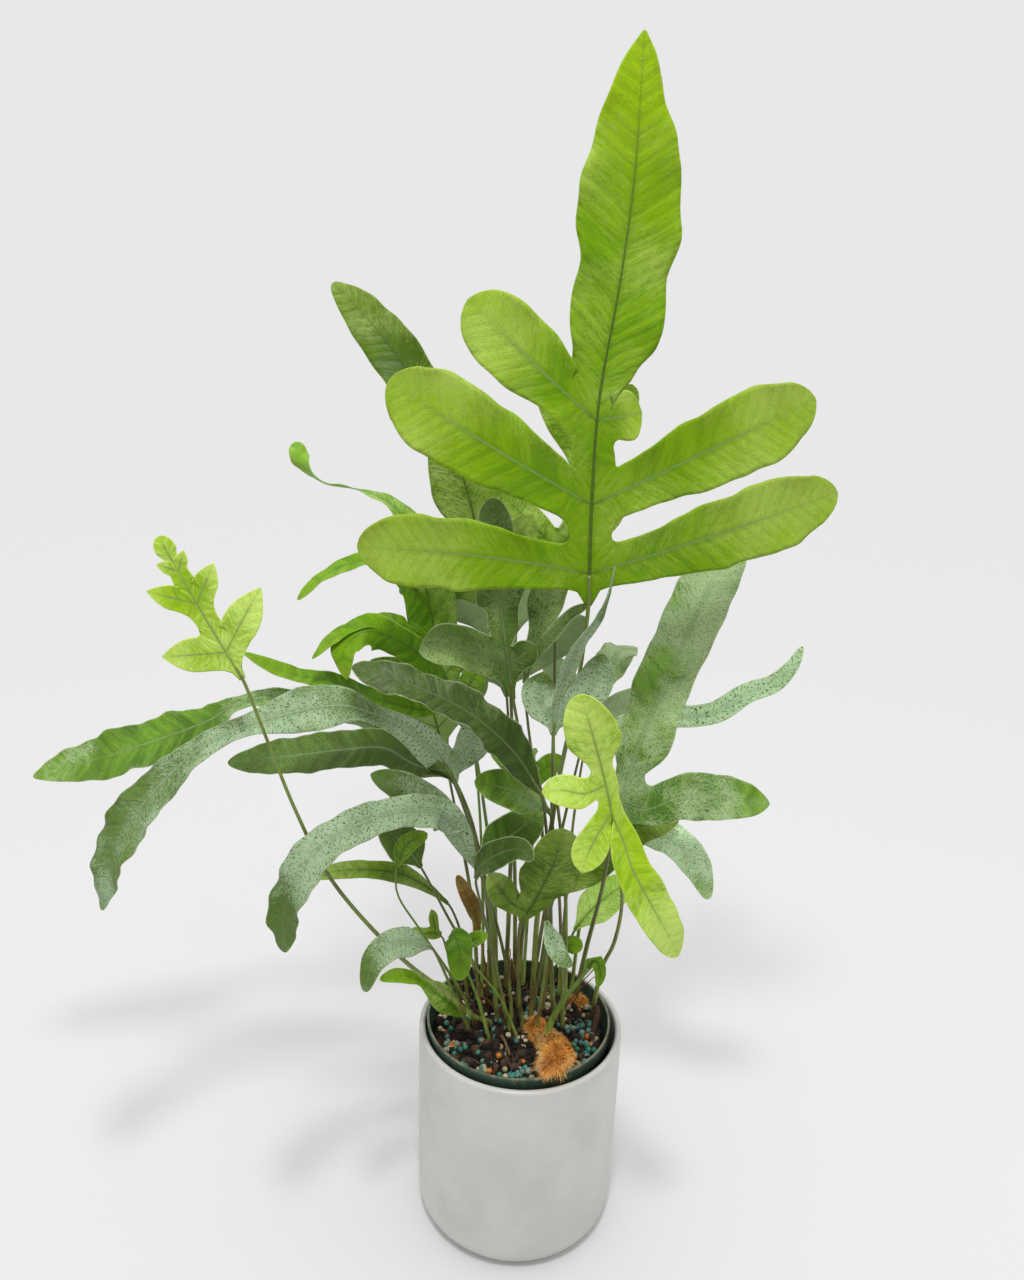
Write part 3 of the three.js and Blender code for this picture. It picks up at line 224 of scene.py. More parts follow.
def makeStudio(setup):
    world = bpy.data.worlds.new("paleStudio")
    bpy.context.scene.world = world
    world.use_nodes = True
    tree = world.node_tree
    tree.nodes.clear()
    output = tree.nodes.new("ShaderNodeOutputWorld")
    direction = tree.nodes.new("ShaderNodeTexCoord").outputs["Generated"]
    height = split(tree, direction)[2]
    glow = rise(tree, height, *setup["skyBand"], setup["skyLow"], setup["skyTop"])
    lighting = tree.nodes.new("ShaderNodeBackground")
    feed(tree, lighting.inputs[1], glow)
    seen = tree.nodes.new("ShaderNodeBackground")
    seen.inputs[1].default_value = setup["seen"]
    for node in (lighting, seen):
        node.inputs[0].default_value = (1, 1, 1, 1)
    either = tree.nodes.new("ShaderNodeMixShader")
    tree.links.new(tree.nodes.new("ShaderNodeLightPath").outputs["Is Camera Ray"], either.inputs[0])
    tree.links.new(lighting.outputs[0], either.inputs[1])
    tree.links.new(seen.outputs[0], either.inputs[2])
    tree.links.new(either.outputs[0], output.inputs[0])

    lamp = bpy.data.lights.new("softLamp", "AREA")
    lamp.shape = "DISK"
    lamp.size = setup["lampWidth"] * mm
    lamp.energy = setup["lampPower"]
    lit = bpy.data.objects.new("softLamp", lamp)
    lit.location = Vector(setup["lampPlace"]) * mm
    lit.rotation_mode = "QUATERNION"
    back = Vector(setup["lampPlace"]) - Vector(setup["lampAim"])
    lit.rotation_quaternion = back.to_track_quat("Z", "Y")
    bpy.context.scene.collection.objects.link(lit)

    reach = setup["floorReach"]
    corners = [(-reach, -reach, 0), (reach, -reach, 0), (reach, reach, 0), (-reach, reach, 0)]
    mesh = bpy.data.meshes.new("floor")
    mesh.from_pydata(corners, [], [(0, 1, 2, 3)])
    floor = bpy.data.objects.new("floor", mesh)
    material, tree, shader = freshMaterial("paleFloor")
    x, y, _ = split(tree, objectPlace(tree))
    lampX, lampY, lampHigh = (v * mm for v in setup["lampPlace"])
    gaps = [maths(tree, "POWER", maths(tree, "SUBTRACT", a, b), 2.0) for a, b in ((x, lampX), (y, lampY))]
    slant = total(tree, maths(tree, "DIVIDE", total(tree, *gaps), lampHigh ** 2), 1.0)
    bright = maths(tree, "POWER", slant, -2.0)  # the lamp's light on the floor falls off like this
    extra = setup["floorFar"] / setup["floorNear"] - 1
    whole = total(tree, times(tree, bright, extra * setup["lampTrim"]), 1.0)
    pale = maths(tree, "DIVIDE", setup["floorFar"], whole)
    setShader(tree, shader, {"Base Color": join(tree, pale, pale, pale), "Roughness": setup["floorRough"],
                             "Specular IOR Level": 0.0})
    mesh.materials.append(material)
    bpy.context.scene.collection.objects.link(floor)


makeStudio(studio)
bpy.context.scene.view_settings.view_transform = "Standard"
print("studio ready")


# Meshes

def addObject(name, points, faces, materials, finish=None, softShaded=True):
    mesh = bpy.data.meshes.new(name)
    mesh.from_pydata((np.asarray(points) * mm).tolist(), [], faces)
    for material in materials:
        mesh.materials.append(material)
    if finish is not None:
        mesh.polygons.foreach_set("material_index", np.asarray(finish, np.int32))
    if softShaded:
        mesh.shade_smooth()
    mesh.update()
    thing = bpy.data.objects.new(name, mesh)
    bpy.context.scene.collection.objects.link(thing)
    return thing


def putOn(thing, slot, *nodes):  # rides on the standing pot and takes the place of the plain nodes
    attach(thing, "root")
    if nodes:
        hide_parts(*nodes)


def setCorners(thing, name, values):  # three numbers at each face corner
    layer = thing.data.attributes.new(name, "FLOAT_VECTOR", "CORNER")
    layer.data.foreach_set("vector", np.asarray(values, np.float32).ravel())


def setTints(thing, values):  # one colour at each point
    layer = thing.data.attributes.new("tint", "FLOAT_COLOR", "POINT")
    layer.data.foreach_set("color", np.asarray(values, np.float32).ravel())


# Makes one piece of many small shapes, each with its points, faces and colour.
def addTinted(name, shapes, material, slot, *nodes):
    points, faces, tints = [], [], []
    for shapePoints, shapeFaces, colour in shapes:
        first = len(points)
        points += shapePoints.tolist()
        faces += [tuple(first + i for i in face) for face in shapeFaces]
        tints += [hexColour(colour)] * len(shapePoints)
    thing = addObject(name, points, faces, [material])
    setTints(thing, tints)
    putOn(thing, slot, *nodes)


def unit(vectors):
    return vectors / np.linalg.norm(vectors, axis=1, keepdims=True)


def circle(count):
    return np.arange(count) * 2 * math.pi / count


def turned(profile, segments, centre=(0, 0)):  # a closed lathe round Z: profile of (radius, height)
    points, faces, rings = [], [], []
    for radius, height in profile:
        if not radius:
            rings.append([len(points)] * segments)
            points.append((centre[0], centre[1], height))
            continue
        rings.append(list(range(len(points), len(points) + segments)))
        for a in circle(segments):
            points.append((centre[0] + radius * math.cos(a), centre[1] + radius * math.sin(a), height))
    for low, high in zip(rings, rings[1:]):
        for k in range(segments):
            after = (k + 1) % segments
            faces.append(list(dict.fromkeys((low[k], low[after], high[after], high[k]))))
    return points, faces


def arc(radius, height, reach, start, end, steps):  # round a corner of a profile, angles in degrees
    angles = [math.radians(start + (end - start) * i / steps) for i in range(steps + 1)]
    return [(radius + reach * math.cos(a), height + reach * math.sin(a)) for a in angles]


def tubeMesh(centres, radii, sides):  # closed tube, ring by ring, with flat ends
    centres = np.asarray(centres, float)
    along = unit(np.gradient(centres, axis=0))
    anySide = (0.3, 0.9, 0.2)
    across = np.cross(along[0], anySide)
    angles = circle(sides)
    points = []
    for centre, direction, radius in zip(centres, along, radii):
        across = across - direction * np.dot(across, direction)
        across /= np.linalg.norm(across)
        other = np.cross(direction, across)
        spokes = np.outer(np.cos(angles), across) + np.outer(np.sin(angles), other)
        points.append(centre + spokes * np.reshape(radius, (-1, 1)))
    count = len(centres)
    faces = []
    for i in range(count - 1):
        for k in range(sides):
            after = (k + 1) % sides
            faces.append((i * sides + k, i * sides + after, (i + 1) * sides + after, (i + 1) * sides + k))
    faces.append(tuple(range(sides - 1, -1, -1)))
    faces.append(tuple(range((count - 1) * sides, count * sides)))
    return np.concatenate(points), faces


def smooth(share):
    share = np.clip(share, 0, 1)
    return share * share * (3 - 2 * share)


def wayThrough(places, stepsBetween=40):  # a smooth curve, with its length so far at each fine step
    p = np.asarray(places, float)
    p = np.vstack([2 * p[0] - p[1], p, 2 * p[-1] - p[-2]])
    t = np.linspace(0, 1, stepsBetween + 1)[:-1, None]
    fine = []
    for a, b, c, d in zip(p, p[1:], p[2:], p[3:]):
        gaps = [max(np.sqrt(np.linalg.norm(v - u)), 1e-3) for u, v in ((a, b), (b, c), (c, d))]
        leave = (b - a) / gaps[0] - (c - a) / (gaps[0] + gaps[1]) + (c - b) / gaps[1]
        arrive = (c - b) / gaps[1] - (d - b) / (gaps[1] + gaps[2]) + (d - c) / gaps[2]
        leave, arrive = leave * gaps[1], arrive * gaps[1]
        fine.append(b + leave * t + (3 * c - 3 * b - 2 * leave - arrive) * t ** 2
                    + (2 * b - 2 * c + leave + arrive) * t ** 3)
    fine = np.vstack([*fine, p[-2:-1]])
    reach = np.concatenate([[0], np.cumsum(np.linalg.norm(np.diff(fine, axis=0), axis=1))])
    return fine, reach


def wayAt(way, share, nearby=0.4):  # points and directions at shares of the length, straight on past the end
    fine, reach = way
    at = np.atleast_1d(share) * reach[-1]

    def place(distance):
        return np.stack([np.interp(distance, reach, fine[:, k]) for k in range(3)], -1)
    ahead = place(np.minimum(at + nearby, reach[-1]))
    along = unit(ahead - place(np.clip(at - nearby, 0, reach[-1] - 0.5)))
    return place(at) + along * np.maximum(at - reach[-1], 0)[:, None], along


# Ceramic pot

ceramic = {
    "radius": 60, "height": 126, "wall": 3.8, "floor": 8, "taper": 1,
    "footRound": 13, "rimRound": 1.9, "floorRound": 6,
    "segments": 160, "footSteps": 14, "rimSteps": 12,
    "white": "c4c3bf", "shade": "bab9b4", "fleck": "a9a69d",
    "roughness": 0.3, "uneven": 0.12,    # least roughness, and how much more there is in places
    "coat": 0.15, "coatRoughness": 0.3,
}


def ceramicMaterial(look):
    material, tree, shader = freshMaterial("satinGlaze")
    where = objectPlace(tree)
    soft = cloud(tree, where, 26, 4)
    flecks = blotches(tree, where, 420, 1, 0.72, 0.78, 0.25)
    colour = coats(tree, look["white"], (rise(tree, soft, 0.35, 0.7), look["shade"]), (flecks, look["fleck"]))
    rough = total(tree, times(tree, soft, look["uneven"]), look["roughness"])
    setShader(tree, shader, {"Base Color": colour, "Roughness": rough, "Coat Weight": look["coat"],
                             "Coat Roughness": look["coatRoughness"]})
    height = total(tree, times(tree, soft, 1.2), times(tree, cloud(tree, where, 900, 2), 0.12))
    relief(tree, shader, height, 0.0002, 0.4)
    return material


def makeCeramicPot(look):
    radius, height, wall, rim = look["radius"], look["height"], look["wall"], look["rimRound"]
    taper, footRound, floor = look["taper"], look["footRound"], look["floor"]
    foot, inside = radius - taper, radius - wall
    sides = [(radius - taper * (1 - share) ** 2, footRound + share * height / 2) for share in (0.3, 0.6, 1)]
    profile = [
        (0, 0), (foot - footRound - 2, 0),
        *arc(foot - footRound, footRound, footRound, -90, 0, look["footSteps"]),
        *sides,
        *arc(radius - rim, height - rim, rim, 0, 180, look["rimSteps"]),
        (inside, height * 0.55), (inside - taper, floor + look["floorRound"]),
        (inside - taper - look["floorRound"], floor), (0, floor),
    ]
    points, faces = turned(profile, look["segments"])
    pot = addObject("ceramicPot", points, faces, [ceramicMaterial(look)])
    putOn(pot, "ceramic", "ceramic_pot")


makeCeramicPot(ceramic)


# Nursery pot inside it

nursery = {
    "centre": (-1.2, 0.6), "radius": 54.2, "top": 129.5, "lipDepth": 9, "lipStep": 1.6, "bottomRadius": 43,
    "wall": 1.3, "bottom": 8.35, "segments": 120,
    "green": "2a4032", "faded": "31463a", "dustAndHighlight": "8a876c",
    "wearAndHighlight": 1.6,         # how far the pale band of wear, dust and painted highlight reaches down from the top
    "roughness": (0.38, 0.62),
}


def nurseryMaterial(look):
    material, tree, shader = freshMaterial("mouldedPlastic")
    where = objectPlace(tree)
    top = look["top"] * mm
    # A pale band along the top of the rim: partly wear and dust, partly a painted highlight where the light
    # catches the rim's top.
    wearAndHighlight = rise(tree, split(tree, where)[2], top - look["wearAndHighlight"] * mm, top - 0.1 * mm)
    wearAndHighlight = times(tree, wearAndHighlight, blotches(tree, where, 95, 4, 0.4, 0.6, 0.8, 0.7, 0.15))
    colour = coats(tree, look["green"], (blotches(tree, where, 45, 4, 0.4, 0.75, 0.6), look["faded"]),
                   (blotches(tree, where, 330, 5, 0.58, 0.72, 0.55, 0.7), look["dustAndHighlight"]), (wearAndHighlight, look["dustAndHighlight"]))
    rough = rise(tree, cloud(tree, where, 60, 3), 0.3, 0.7, *look["roughness"])
    setShader(tree, shader, {"Base Color": colour, "Roughness": rough})
    relief(tree, shader, cloud(tree, where, 500, 2), 0.0002, 0.5)
    return material


def makeNurseryPot(look):
    radius, top, lip, wall = look["radius"], look["top"], look["lipDepth"], look["wall"]
    body = radius - look["lipStep"]
    bottom, foot = look["bottom"], look["bottomRadius"]
    profile = [  # the small numbers break its edges
        (0, bottom), (foot - 1, bottom), (foot, bottom + 1), (body, top - lip - 0.4),
        (radius - 0.4, top - lip + 0.3), (radius, top - lip + 1),
        *arc(radius - 0.5, top - 0.5, 0.5, 0, 90, 4),
        *arc(radius - wall + 0.4, top - 0.4, 0.4, 90, 180, 3), (radius - wall, top - lip + 0.6),
        (body - wall, top - lip - 0.6), (foot - wall, bottom + wall), (0, bottom + wall),
    ]
    points, faces = turned(profile, look["segments"], look["centre"])
    pot = addObject("nurseryPot", points, faces, [nurseryMaterial(look)])
    putOn(pot, "nursery_plastic", "nursery_pot")


makeNurseryPot(nursery)
print("pots ready")


# Soil with crumbs, feed grains, perlite and roots

soilLook = {
    "level": 121, "crown": 3, "clods": 1.5, "reach": 49.9, "bottom": 10.35, "bottomReach": 41.4,
    "shoulder": (0.8, 8),    # the first step down at its side, inwards and downwards
    "segments": 210, "rings": 62,
    "lumps": 1.5,            # height of the fine lumps
    "grainReach": 48.5, "grainLimit": 48.3,
    "brown": "241a14", "dry": "4a382a", "black": "120d0a", "fibre": "7b5b3b", "shadow": "1a130e",
    "roughness": 0.93, "shine": 0.25,
}

# lumpy: how far from round. sink: height over the soil as a share of the size. shadow: how dark in places.
# heaps: places and spreads of the heaps, with the share of the grains that lies in them.
grainLooks = [
    {"name": "soilCrumbs", "count": 620, "size": (0.7, 2.6), "lumpy": 0.42, "sink": 0.15, "seed": 11,
     "colours": [soilLook["brown"], soilLook["dry"], soilLook["black"], "33251b", "5a412c"],
     "finish": "soilCrumb", "roughness": 0.95, "depth": 0.0006, "shadow": 0.6},
    {"name": "feedGrains", "count": 205, "size": (1.45, 2.0), "lumpy": 0.05, "sink": 0.5, "seed": 23,
     "colours": ["2f7a64", "3c8a74", "5f8680", "7f968c", "446a66", "52907a", "346a5c", "8f9d8c", "2f7a64",
                 "a49a78", "446a66", "3c8a74", "c4761c"],
     "finish": "feedCoating", "roughness": 0.42, "depth": 0.00008, "shadow": 0.22,
     "heaps": [(-41, -21, 9), (-24, -37, 10), (36, -2, 9), (39, -28, 9), (0, -40, 12), (-30, 8, 14),
               (20, 30, 14)], "inHeaps": 0.62},
    {"name": "perlite", "count": 85, "size": (0.9, 2.2), "lumpy": 0.28, "sink": 0.35, "seed": 37,
     "colours": ["cfc29c", "c9bb98"],
     "finish": "perliteCrumb", "roughness": 0.9, "depth": 0.0004, "shadow": 0.15},
]

rootLook = {
    "count": 46, "steps": (7, 15), "stride": 1.8, "bend": 0.42, "thick": (0.22, 0.62), "sides": 6,
    "limit": 48.6, "seed": 5,
    "colours": ["6b4a30", "4b3322", "8a6a48"],
}


def soilHeight(x, y):
    reach = np.hypot(x, y) / soilLook["reach"]
    slanting = 0.6 * np.sin(x * 0.13 - y * 0.42 + 2)
    lumps = np.sin(x * 0.31 + 1.3) * np.cos(y * 0.27 - 0.6) + slanting
    crown = soilLook["crown"] * (1 - reach * reach)
    return soilLook["level"] + crown + soilLook["clods"] * lumps * (1 - 0.5 * reach)


def soilSurface(x, y):  # the same ground with its fine lumps
    fine = 0.0
    for size, share in ((0.16, 0.55), (0.37, 0.3), (0.85, 0.15)):
        fine += share * noise.noise(Vector((x * size, y * size, 3.7)))
    return float(soilHeight(x, y)) + soilLook["lumps"] * 2 * fine - 0.3


def soilMaterial(look):
    material, tree, shader = freshMaterial("pottingSoil")
    where = objectPlace(tree)
    dried = blotches(tree, where, 260, 5, 0.42, 0.66, 1.0, 0.65)
    ground = blend(tree, dried, look["brown"], look["dry"])
    ground = blend(tree, blotches(tree, where, 90, 4, 0.45, 0.62), look["black"], ground)
    colour = blend(tree, blotches(tree, where, 1200, 2, 0.66, 0.74, 0.6), ground, look["fibre"])
    setShader(tree, shader, {"Base Color": colour, "Roughness": look["roughness"],
                             "Specular IOR Level": look["shine"]})
    relief(tree, shader, cloud(tree, where, 700, 5, 0.7), 0.0011, 1.0)
    return material


def makeSoil(look):
    midX, midY = nursery["centre"]
    reaches = look["reach"] * np.linspace(0, 1, look["rings"] + 1)[1:] ** 0.8
    points = [(midX, midY, soilSurface(midX, midY))]
    segments = look["segments"]
    angles = circle(segments)
    for reach in reaches:
        for angle in angles:
            x, y = midX + reach * math.cos(angle), midY + reach * math.sin(angle)
            points.append((x, y, soilSurface(x, y)))
    inwards, downwards = look["shoulder"]
    sides = ((look["reach"] - inwards, look["level"] - downwards), (look["bottomReach"], look["bottom"]))
    for reach, height in sides:
        points += [(midX + reach * math.cos(a), midY + reach * math.sin(a), height) for a in angles]
    faces = []
    rings = look["rings"] + 2
    for k in range(segments):
        after = (k + 1) % segments
        faces.append((0, 1 + k, 1 + after))
        for ring in range(rings - 1):
            low, high = 1 + ring * segments, 1 + (ring + 1) * segments
            faces.append((low + k, high + k, high + after, low + after))
    faces.append(tuple(1 + (rings - 1) * segments + k for k in range(segments - 1, -1, -1)))
    ground = addObject("soilGround", points, faces, [soilMaterial(look)])
    putOn(ground, "soil", "soil")


def grainShape(divisions=2):  # a small ball's points and faces
    step = bpy.data.meshes.new("grain")
    ball = bmesh.new()
    bmesh.ops.create_icosphere(ball, subdivisions=divisions, radius=1)
    ball.to_mesh(step)
    ball.free()
    points = np.array([v.co for v in step.vertices])
    faces = [tuple(p.vertices) for p in step.polygons]
    bpy.data.meshes.remove(step)
    return points, faces


def scatter(draw, heaps=(), share=0.0):  # a place on the soil, most often on one of the heaps
    midX, midY = nursery["centre"]
    while True:
        if heaps and draw.random() < share:
            x, y, spread = draw.choice(heaps)
            x, y = draw.gauss(x, spread * 0.45), draw.gauss(y, spread * 0.45)
        else:
            angle, reach = draw.uniform(0, 2 * math.pi), soilLook["grainReach"] * math.sqrt(draw.random())
            x, y = midX + reach * math.cos(angle), midY + reach * math.sin(angle)
        if math.hypot(x - midX, y - midY) < soilLook["grainLimit"]:
            return x, y


def grainMaterial(name, rough, depth, shadow):
    material, tree, shader = freshMaterial(name)
    where = objectPlace(tree)
    shade = blotches(tree, where, 900, 3, 0.35, 0.7, shadow)
    colour = blend(tree, shade, meshValue(tree, "tint", "Color"), soilLook["shadow"])
    setShader(tree, shader, {"Base Color": colour, "Roughness": rough})
    relief(tree, shader, cloud(tree, where, 1500, 3), depth, 0.8)
    return material


def makeGrains(look):
    draw = random.Random(look["seed"])
    ball, ballFaces = grainShape()
    lumpy = look["lumpy"]
    shapes = []
    for _ in range(look["count"]):
        x, y = scatter(draw, look.get("heaps"), look.get("inHeaps"))
        size = draw.uniform(*look["size"])
        shift = Vector((draw.uniform(0, 50), draw.uniform(0, 50), 0))
        stretch = np.array([draw.uniform(1 - lumpy, 1 + lumpy) for _ in range(3)])
        knobs = np.array([1 + lumpy * 1.6 * noise.noise(Vector(p) * 1.3 + shift) for p in ball])
        height = soilSurface(x, y) + size * look["sink"]
        grain = ball * stretch * knobs[:, None] * size + (x, y, height)
        shapes.append((grain, ballFaces, draw.choice(look["colours"])))
    finish = grainMaterial(look["finish"], look["roughness"], look["depth"], look["shadow"])
    addTinted(look["name"], shapes, finish, "soil")


def makeRoots(look):
    draw = random.Random(look["seed"])
    midX, midY = nursery["centre"]
    shapes = []
    for _ in range(look["count"]):
        x, y = scatter(draw)
        heading = draw.uniform(0, 2 * math.pi)
        centres = []
        for step in range(draw.randint(*look["steps"])):
            if math.hypot(x - midX, y - midY) > look["limit"]:
                break
            centres.append((x, y, soilSurface(x, y) + 0.5 + 0.9 * math.sin(step * 0.8)))
            heading += draw.gauss(0, look["bend"])
            x, y = x + look["stride"] * math.cos(heading), y + look["stride"] * math.sin(heading)
        if len(centres) < 4:
            continue
        thick = draw.uniform(*look["thick"])
        tube, tubeFaces = tubeMesh(centres, np.linspace(thick, thick * 0.4, len(centres)), look["sides"])
        shapes.append((tube, tubeFaces, draw.choice(look["colours"])))
    addTinted("soilRoots", shapes, grainMaterial("rootBark", 0.85, 0.0003, 0.5), "soil")


makeSoil(soilLook)
for grainLook in grainLooks:
    makeGrains(grainLook)
makeRoots(rootLook)
print("soil ready")


# Rhizomes with fur

rhizomeLook = {
    "stems": [
        {"node": "rhizome_front", "sides": 9, "steps": 16,
         "points": [(5, 6, 120), (10, -7, 123.5), (15, -19, 126), (21, -29, 127.5), (19, -40, 131.8),
                    (14, -48.5, 136)],
         "radii": [3.5, 5.5, 6, 6, 7.4, 6.6], "hairs": 17000, "frontTuft": 1, "seed": 61},
        {"node": "rhizome_back", "sides": 8, "steps": 8,
         "points": [(26, 21, 118.5), (32, 20, 121.5), (37, 21, 121.5), (41, 24, 119)],
         "radii": [3, 4.6, 4.6, 2.6], "hairs": 4600, "frontTuft": 0, "seed": 62},
    ],
    "fineSteps": 64, "fineSides": 30,
    "hairLength": (1.3, 3.3), "hairWidth": 0.2,
    "clumps": 0.55, "clumpSize": 0.45,    # how much tufts differ in length, and how fine they are
    "tipHairs": 0.1,                      # share of the hairs that grow from the round tip
    "scatter": 0.35, "wild": 0.45, "forward": 0.35, "droop": 0.18,
    "hairColours": ["f3b050", "e49a3a", "ffd282", "d48a30", "f8c26a"],
    "furBlotches": ("bd6e1c", "ffe2a2"),
    "skin": "6e4218", "skinBlotches": ("5a3412", "8a5a26"),
}


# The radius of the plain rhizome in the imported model, a little thinner so that the fur fits round it.
# share is that of the length, side that of a turn.
def rhizomeRadius(stem, share, side):
    at = share * (len(stem["radii"]) - 1)
    low = np.minimum(at.astype(int), len(stem["radii"]) - 2)
    radii = np.asarray(stem["radii"], float)
    ends = np.sqrt(np.maximum(0.12, 1 - (2 * share - 1) ** 8))
    plain = (radii[low] + (radii[low + 1] - radii[low]) * smooth(at - low)) * ends
    i, k = share * stem["steps"], side * stem["sides"]
    return plain * (1 + 0.11 * np.sin(2.3 * i + 1.9 * k) + 0.05 * np.cos(3.1 * k - i)) * 0.95


def furMaterial(name, rough, dark, pale):
    material, tree, shader = freshMaterial(name)
    where = objectPlace(tree)
    colour = coats(tree, meshValue(tree, "tint", "Color"),
                   (blotches(tree, where, 110, 3, 0.45, 0.62, 0.7), dark),
                   (blotches(tree, where, 75, 2, 0.5, 0.64, 0.6), pale))
    setShader(tree, shader, {"Base Color": colour, "Roughness": rough, "Specular IOR Level": 0.1})
    relief(tree, shader, cloud(tree, where, 800, 3), 0.0004, 0.6)
    return material


def makeRhizome(stem, look, skin, fur):
    name = stem["node"].replace("_", "")
    share = np.linspace(0, 1, look["fineSteps"])
    centres, along = wayAt(wayThrough(stem["points"]), share)
    sides = np.arange(look["fineSides"]) / look["fineSides"]
    radii = np.array([rhizomeRadius(stem, np.full(len(sides), s), sides) for s in share])
    points, faces = tubeMesh(centres, radii, look["fineSides"])
    addTinted(name + "Core", [(points, faces, look["skin"])], skin, "rhizome", stem["node"])

    draw = np.random.default_rng(stem["seed"])
    count = stem["hairs"]
    ring = draw.integers(0, len(centres), count)
    onTip = draw.random(count) < look["tipHairs"]
    ring = np.where(onTip, len(centres) - 1, ring)
    spot = points[ring * look["fineSides"] + draw.integers(0, look["fineSides"], count)]
    inward = np.where(onTip, np.sqrt(draw.random(count)), 1)[:, None]
    spot = centres[ring] + (spot - centres[ring]) * inward
    spot = spot + draw.normal(0, look["scatter"], (count, 3))
    out = unit(spot - centres[ring])
    lean = unit(out + look["wild"] * draw.normal(0, 1, (count, 3)) + look["forward"] * along[ring])
    broad = np.cross(lean, draw.normal(0, 1, (count, 3)))
    broad *= look["hairWidth"] / 2 / np.linalg.norm(broad, axis=1, keepdims=True)
    tufts = np.array([noise.noise(Vector(place) * look["clumpSize"]) for place in spot.tolist()])[:, None]
    length = draw.uniform(*look["hairLength"], (count, 1)) * (1 + look["clumps"] * 1.6 * tufts)
    atEnd = smooth((ring[:, None] / len(centres) - 0.72) / 0.28) * stem["frontTuft"]
    length = length * (1 + 0.6 * atEnd)
    lean = lean + along[ring] * (0.5 * atEnd + onTip[:, None] * 0.8)
    droop = np.array([0, 0, -look["droop"]]) * length
    middle = spot + lean * length * 0.55 + draw.normal(0, 0.12, (count, 3))
    tip = spot + lean * length + droop + draw.normal(0, 0.25, (count, 3))
    hair = np.stack([spot - broad, spot + broad, middle + broad * 0.8, middle - broad * 0.8, tip], 1)
    hair = hair.reshape(-1, 3)
    first = np.arange(count)[:, None] * 5  # a hair has five points: its foot, its bend and its tip
    hairFaces = [tuple(row) for row in (first + [0, 1, 2, 3]).tolist()]
    hairFaces += [tuple(row) for row in (first + [3, 2, 4]).tolist()]
    coat = addObject(name + "Fur", hair, hairFaces, [fur], softShaded=False)
    shades = np.array([hexColour(code) for code in look["hairColours"]])
    shades = shades[draw.integers(0, len(shades), count)]
    setTints(coat, np.repeat(shades, 5, axis=0))
    putOn(coat, "rhizome")


rhizomeSkin = furMaterial("rhizomeSkin", 0.9, *rhizomeLook["skinBlotches"])
rhizomeFur = furMaterial("goldenFur", 0.7, *rhizomeLook["furBlotches"])
for stem in rhizomeLook["stems"]:
    makeRhizome(stem, rhizomeLook, rhizomeSkin, rhizomeFur)
print("rhizomes ready")


# Dry stalks and bark left on the soil

litterLook = {
    "pieces": [
        {"node": "dry_stalk_left", "points": [(-30, 30, 112), (-30, 30, 124), (-34, 22, 134), (-42, 16, 136)],
         "radius": 1.3, "colour": "6a4d30"},
        {"node": "dry_stalk_front", "points": [(-12, -12, 114), (-12, -13, 124), (-10, -22, 129),
                                               (-7, -30, 125.5)],
         "radius": 1.1, "colour": "7a5a3a"},
        {"node": "bark_chip", "points": [(42, -6, 121), (45, 0, 124), (46.5, 5, 127), (46, 8, 130)],
         "radius": 2.6, "colour": "4e3523"},
    ],
    "steps": 26, "sides": 12,
}

oldStemLook = {  # thin brown remains of fronds, standing round the crown
    "count": 26, "thick": (0.3, 0.75), "high": (10, 46), "steps": 14, "sides": 6, "seed": 83,
    "middle": (-6, 12), "spread": (13, 11), "leanFrom": (-6, 14), "wobble": 0.35,
    "colours": ["6b4428", "8a5e36", "54341f", "a37648"],
}


def makeLitter(look):
    bark = grainMaterial("dryBark", 0.9, 0.0007, 0.6)
    for piece in look["pieces"]:
        share = np.linspace(0, 1, look["steps"])
        centres, _ = wayAt(wayThrough(piece["points"]), share)
        sides = np.arange(look["sides"])
        ridges = 1 + 0.12 * np.sin(sides * 2.1 + share[:, None] * 3)
        ridges = ridges + 0.06 * np.sin(share[:, None] * 40 + sides)
        radii = piece["radius"] * (1 - 0.36 * share[:, None]) * ridges
        points, faces = tubeMesh(centres, radii, look["sides"])
        addTinted(piece["node"].replace("_", ""), [(points, faces, piece["colour"])], bark, "dry",
                  piece["node"])


def makeOldStems(look):
    draw = random.Random(look["seed"])
    steps, wobble = look["steps"], look["wobble"]
    fromX, fromY = look["leanFrom"]
    shapes = []
    for _ in range(look["count"]):
        x, y = (draw.gauss(*near) for near in zip(look["middle"], look["spread"]))
        high = draw.uniform(*look["high"])
        leanX, leanY = draw.gauss((x - fromX) * 0.5, 5), draw.gauss((y - fromY) * 0.5, 5)
        base = soilSurface(x, y)
        ways = [(x, y, base - 3), (x + leanX * 0.2, y + leanY * 0.2, base + high * 0.4),
                (x + leanX * 0.7, y + leanY * 0.7, base + high * 0.8), (x + leanX, y + leanY, base + high)]
        centres, _ = wayAt(wayThrough(ways), np.linspace(0, 1, steps))
        centres[1:-1] += [[draw.gauss(0, wobble), draw.gauss(0, wobble), 0] for _ in range(steps - 2)]
        thick = draw.uniform(*look["thick"])
        tube, tubeFaces = tubeMesh(centres, np.linspace(thick, thick * 0.5, steps), look["sides"])
        shapes.append((tube, tubeFaces, draw.choice(look["colours"])))
    addTinted("oldStems", shapes, grainMaterial("oldStemBark", 0.85, 0.0003, 0.5), "dry")


makeLitter(litterLook)
makeOldStems(oldStemLook)
print("litter ready")


# Colours of the fronds

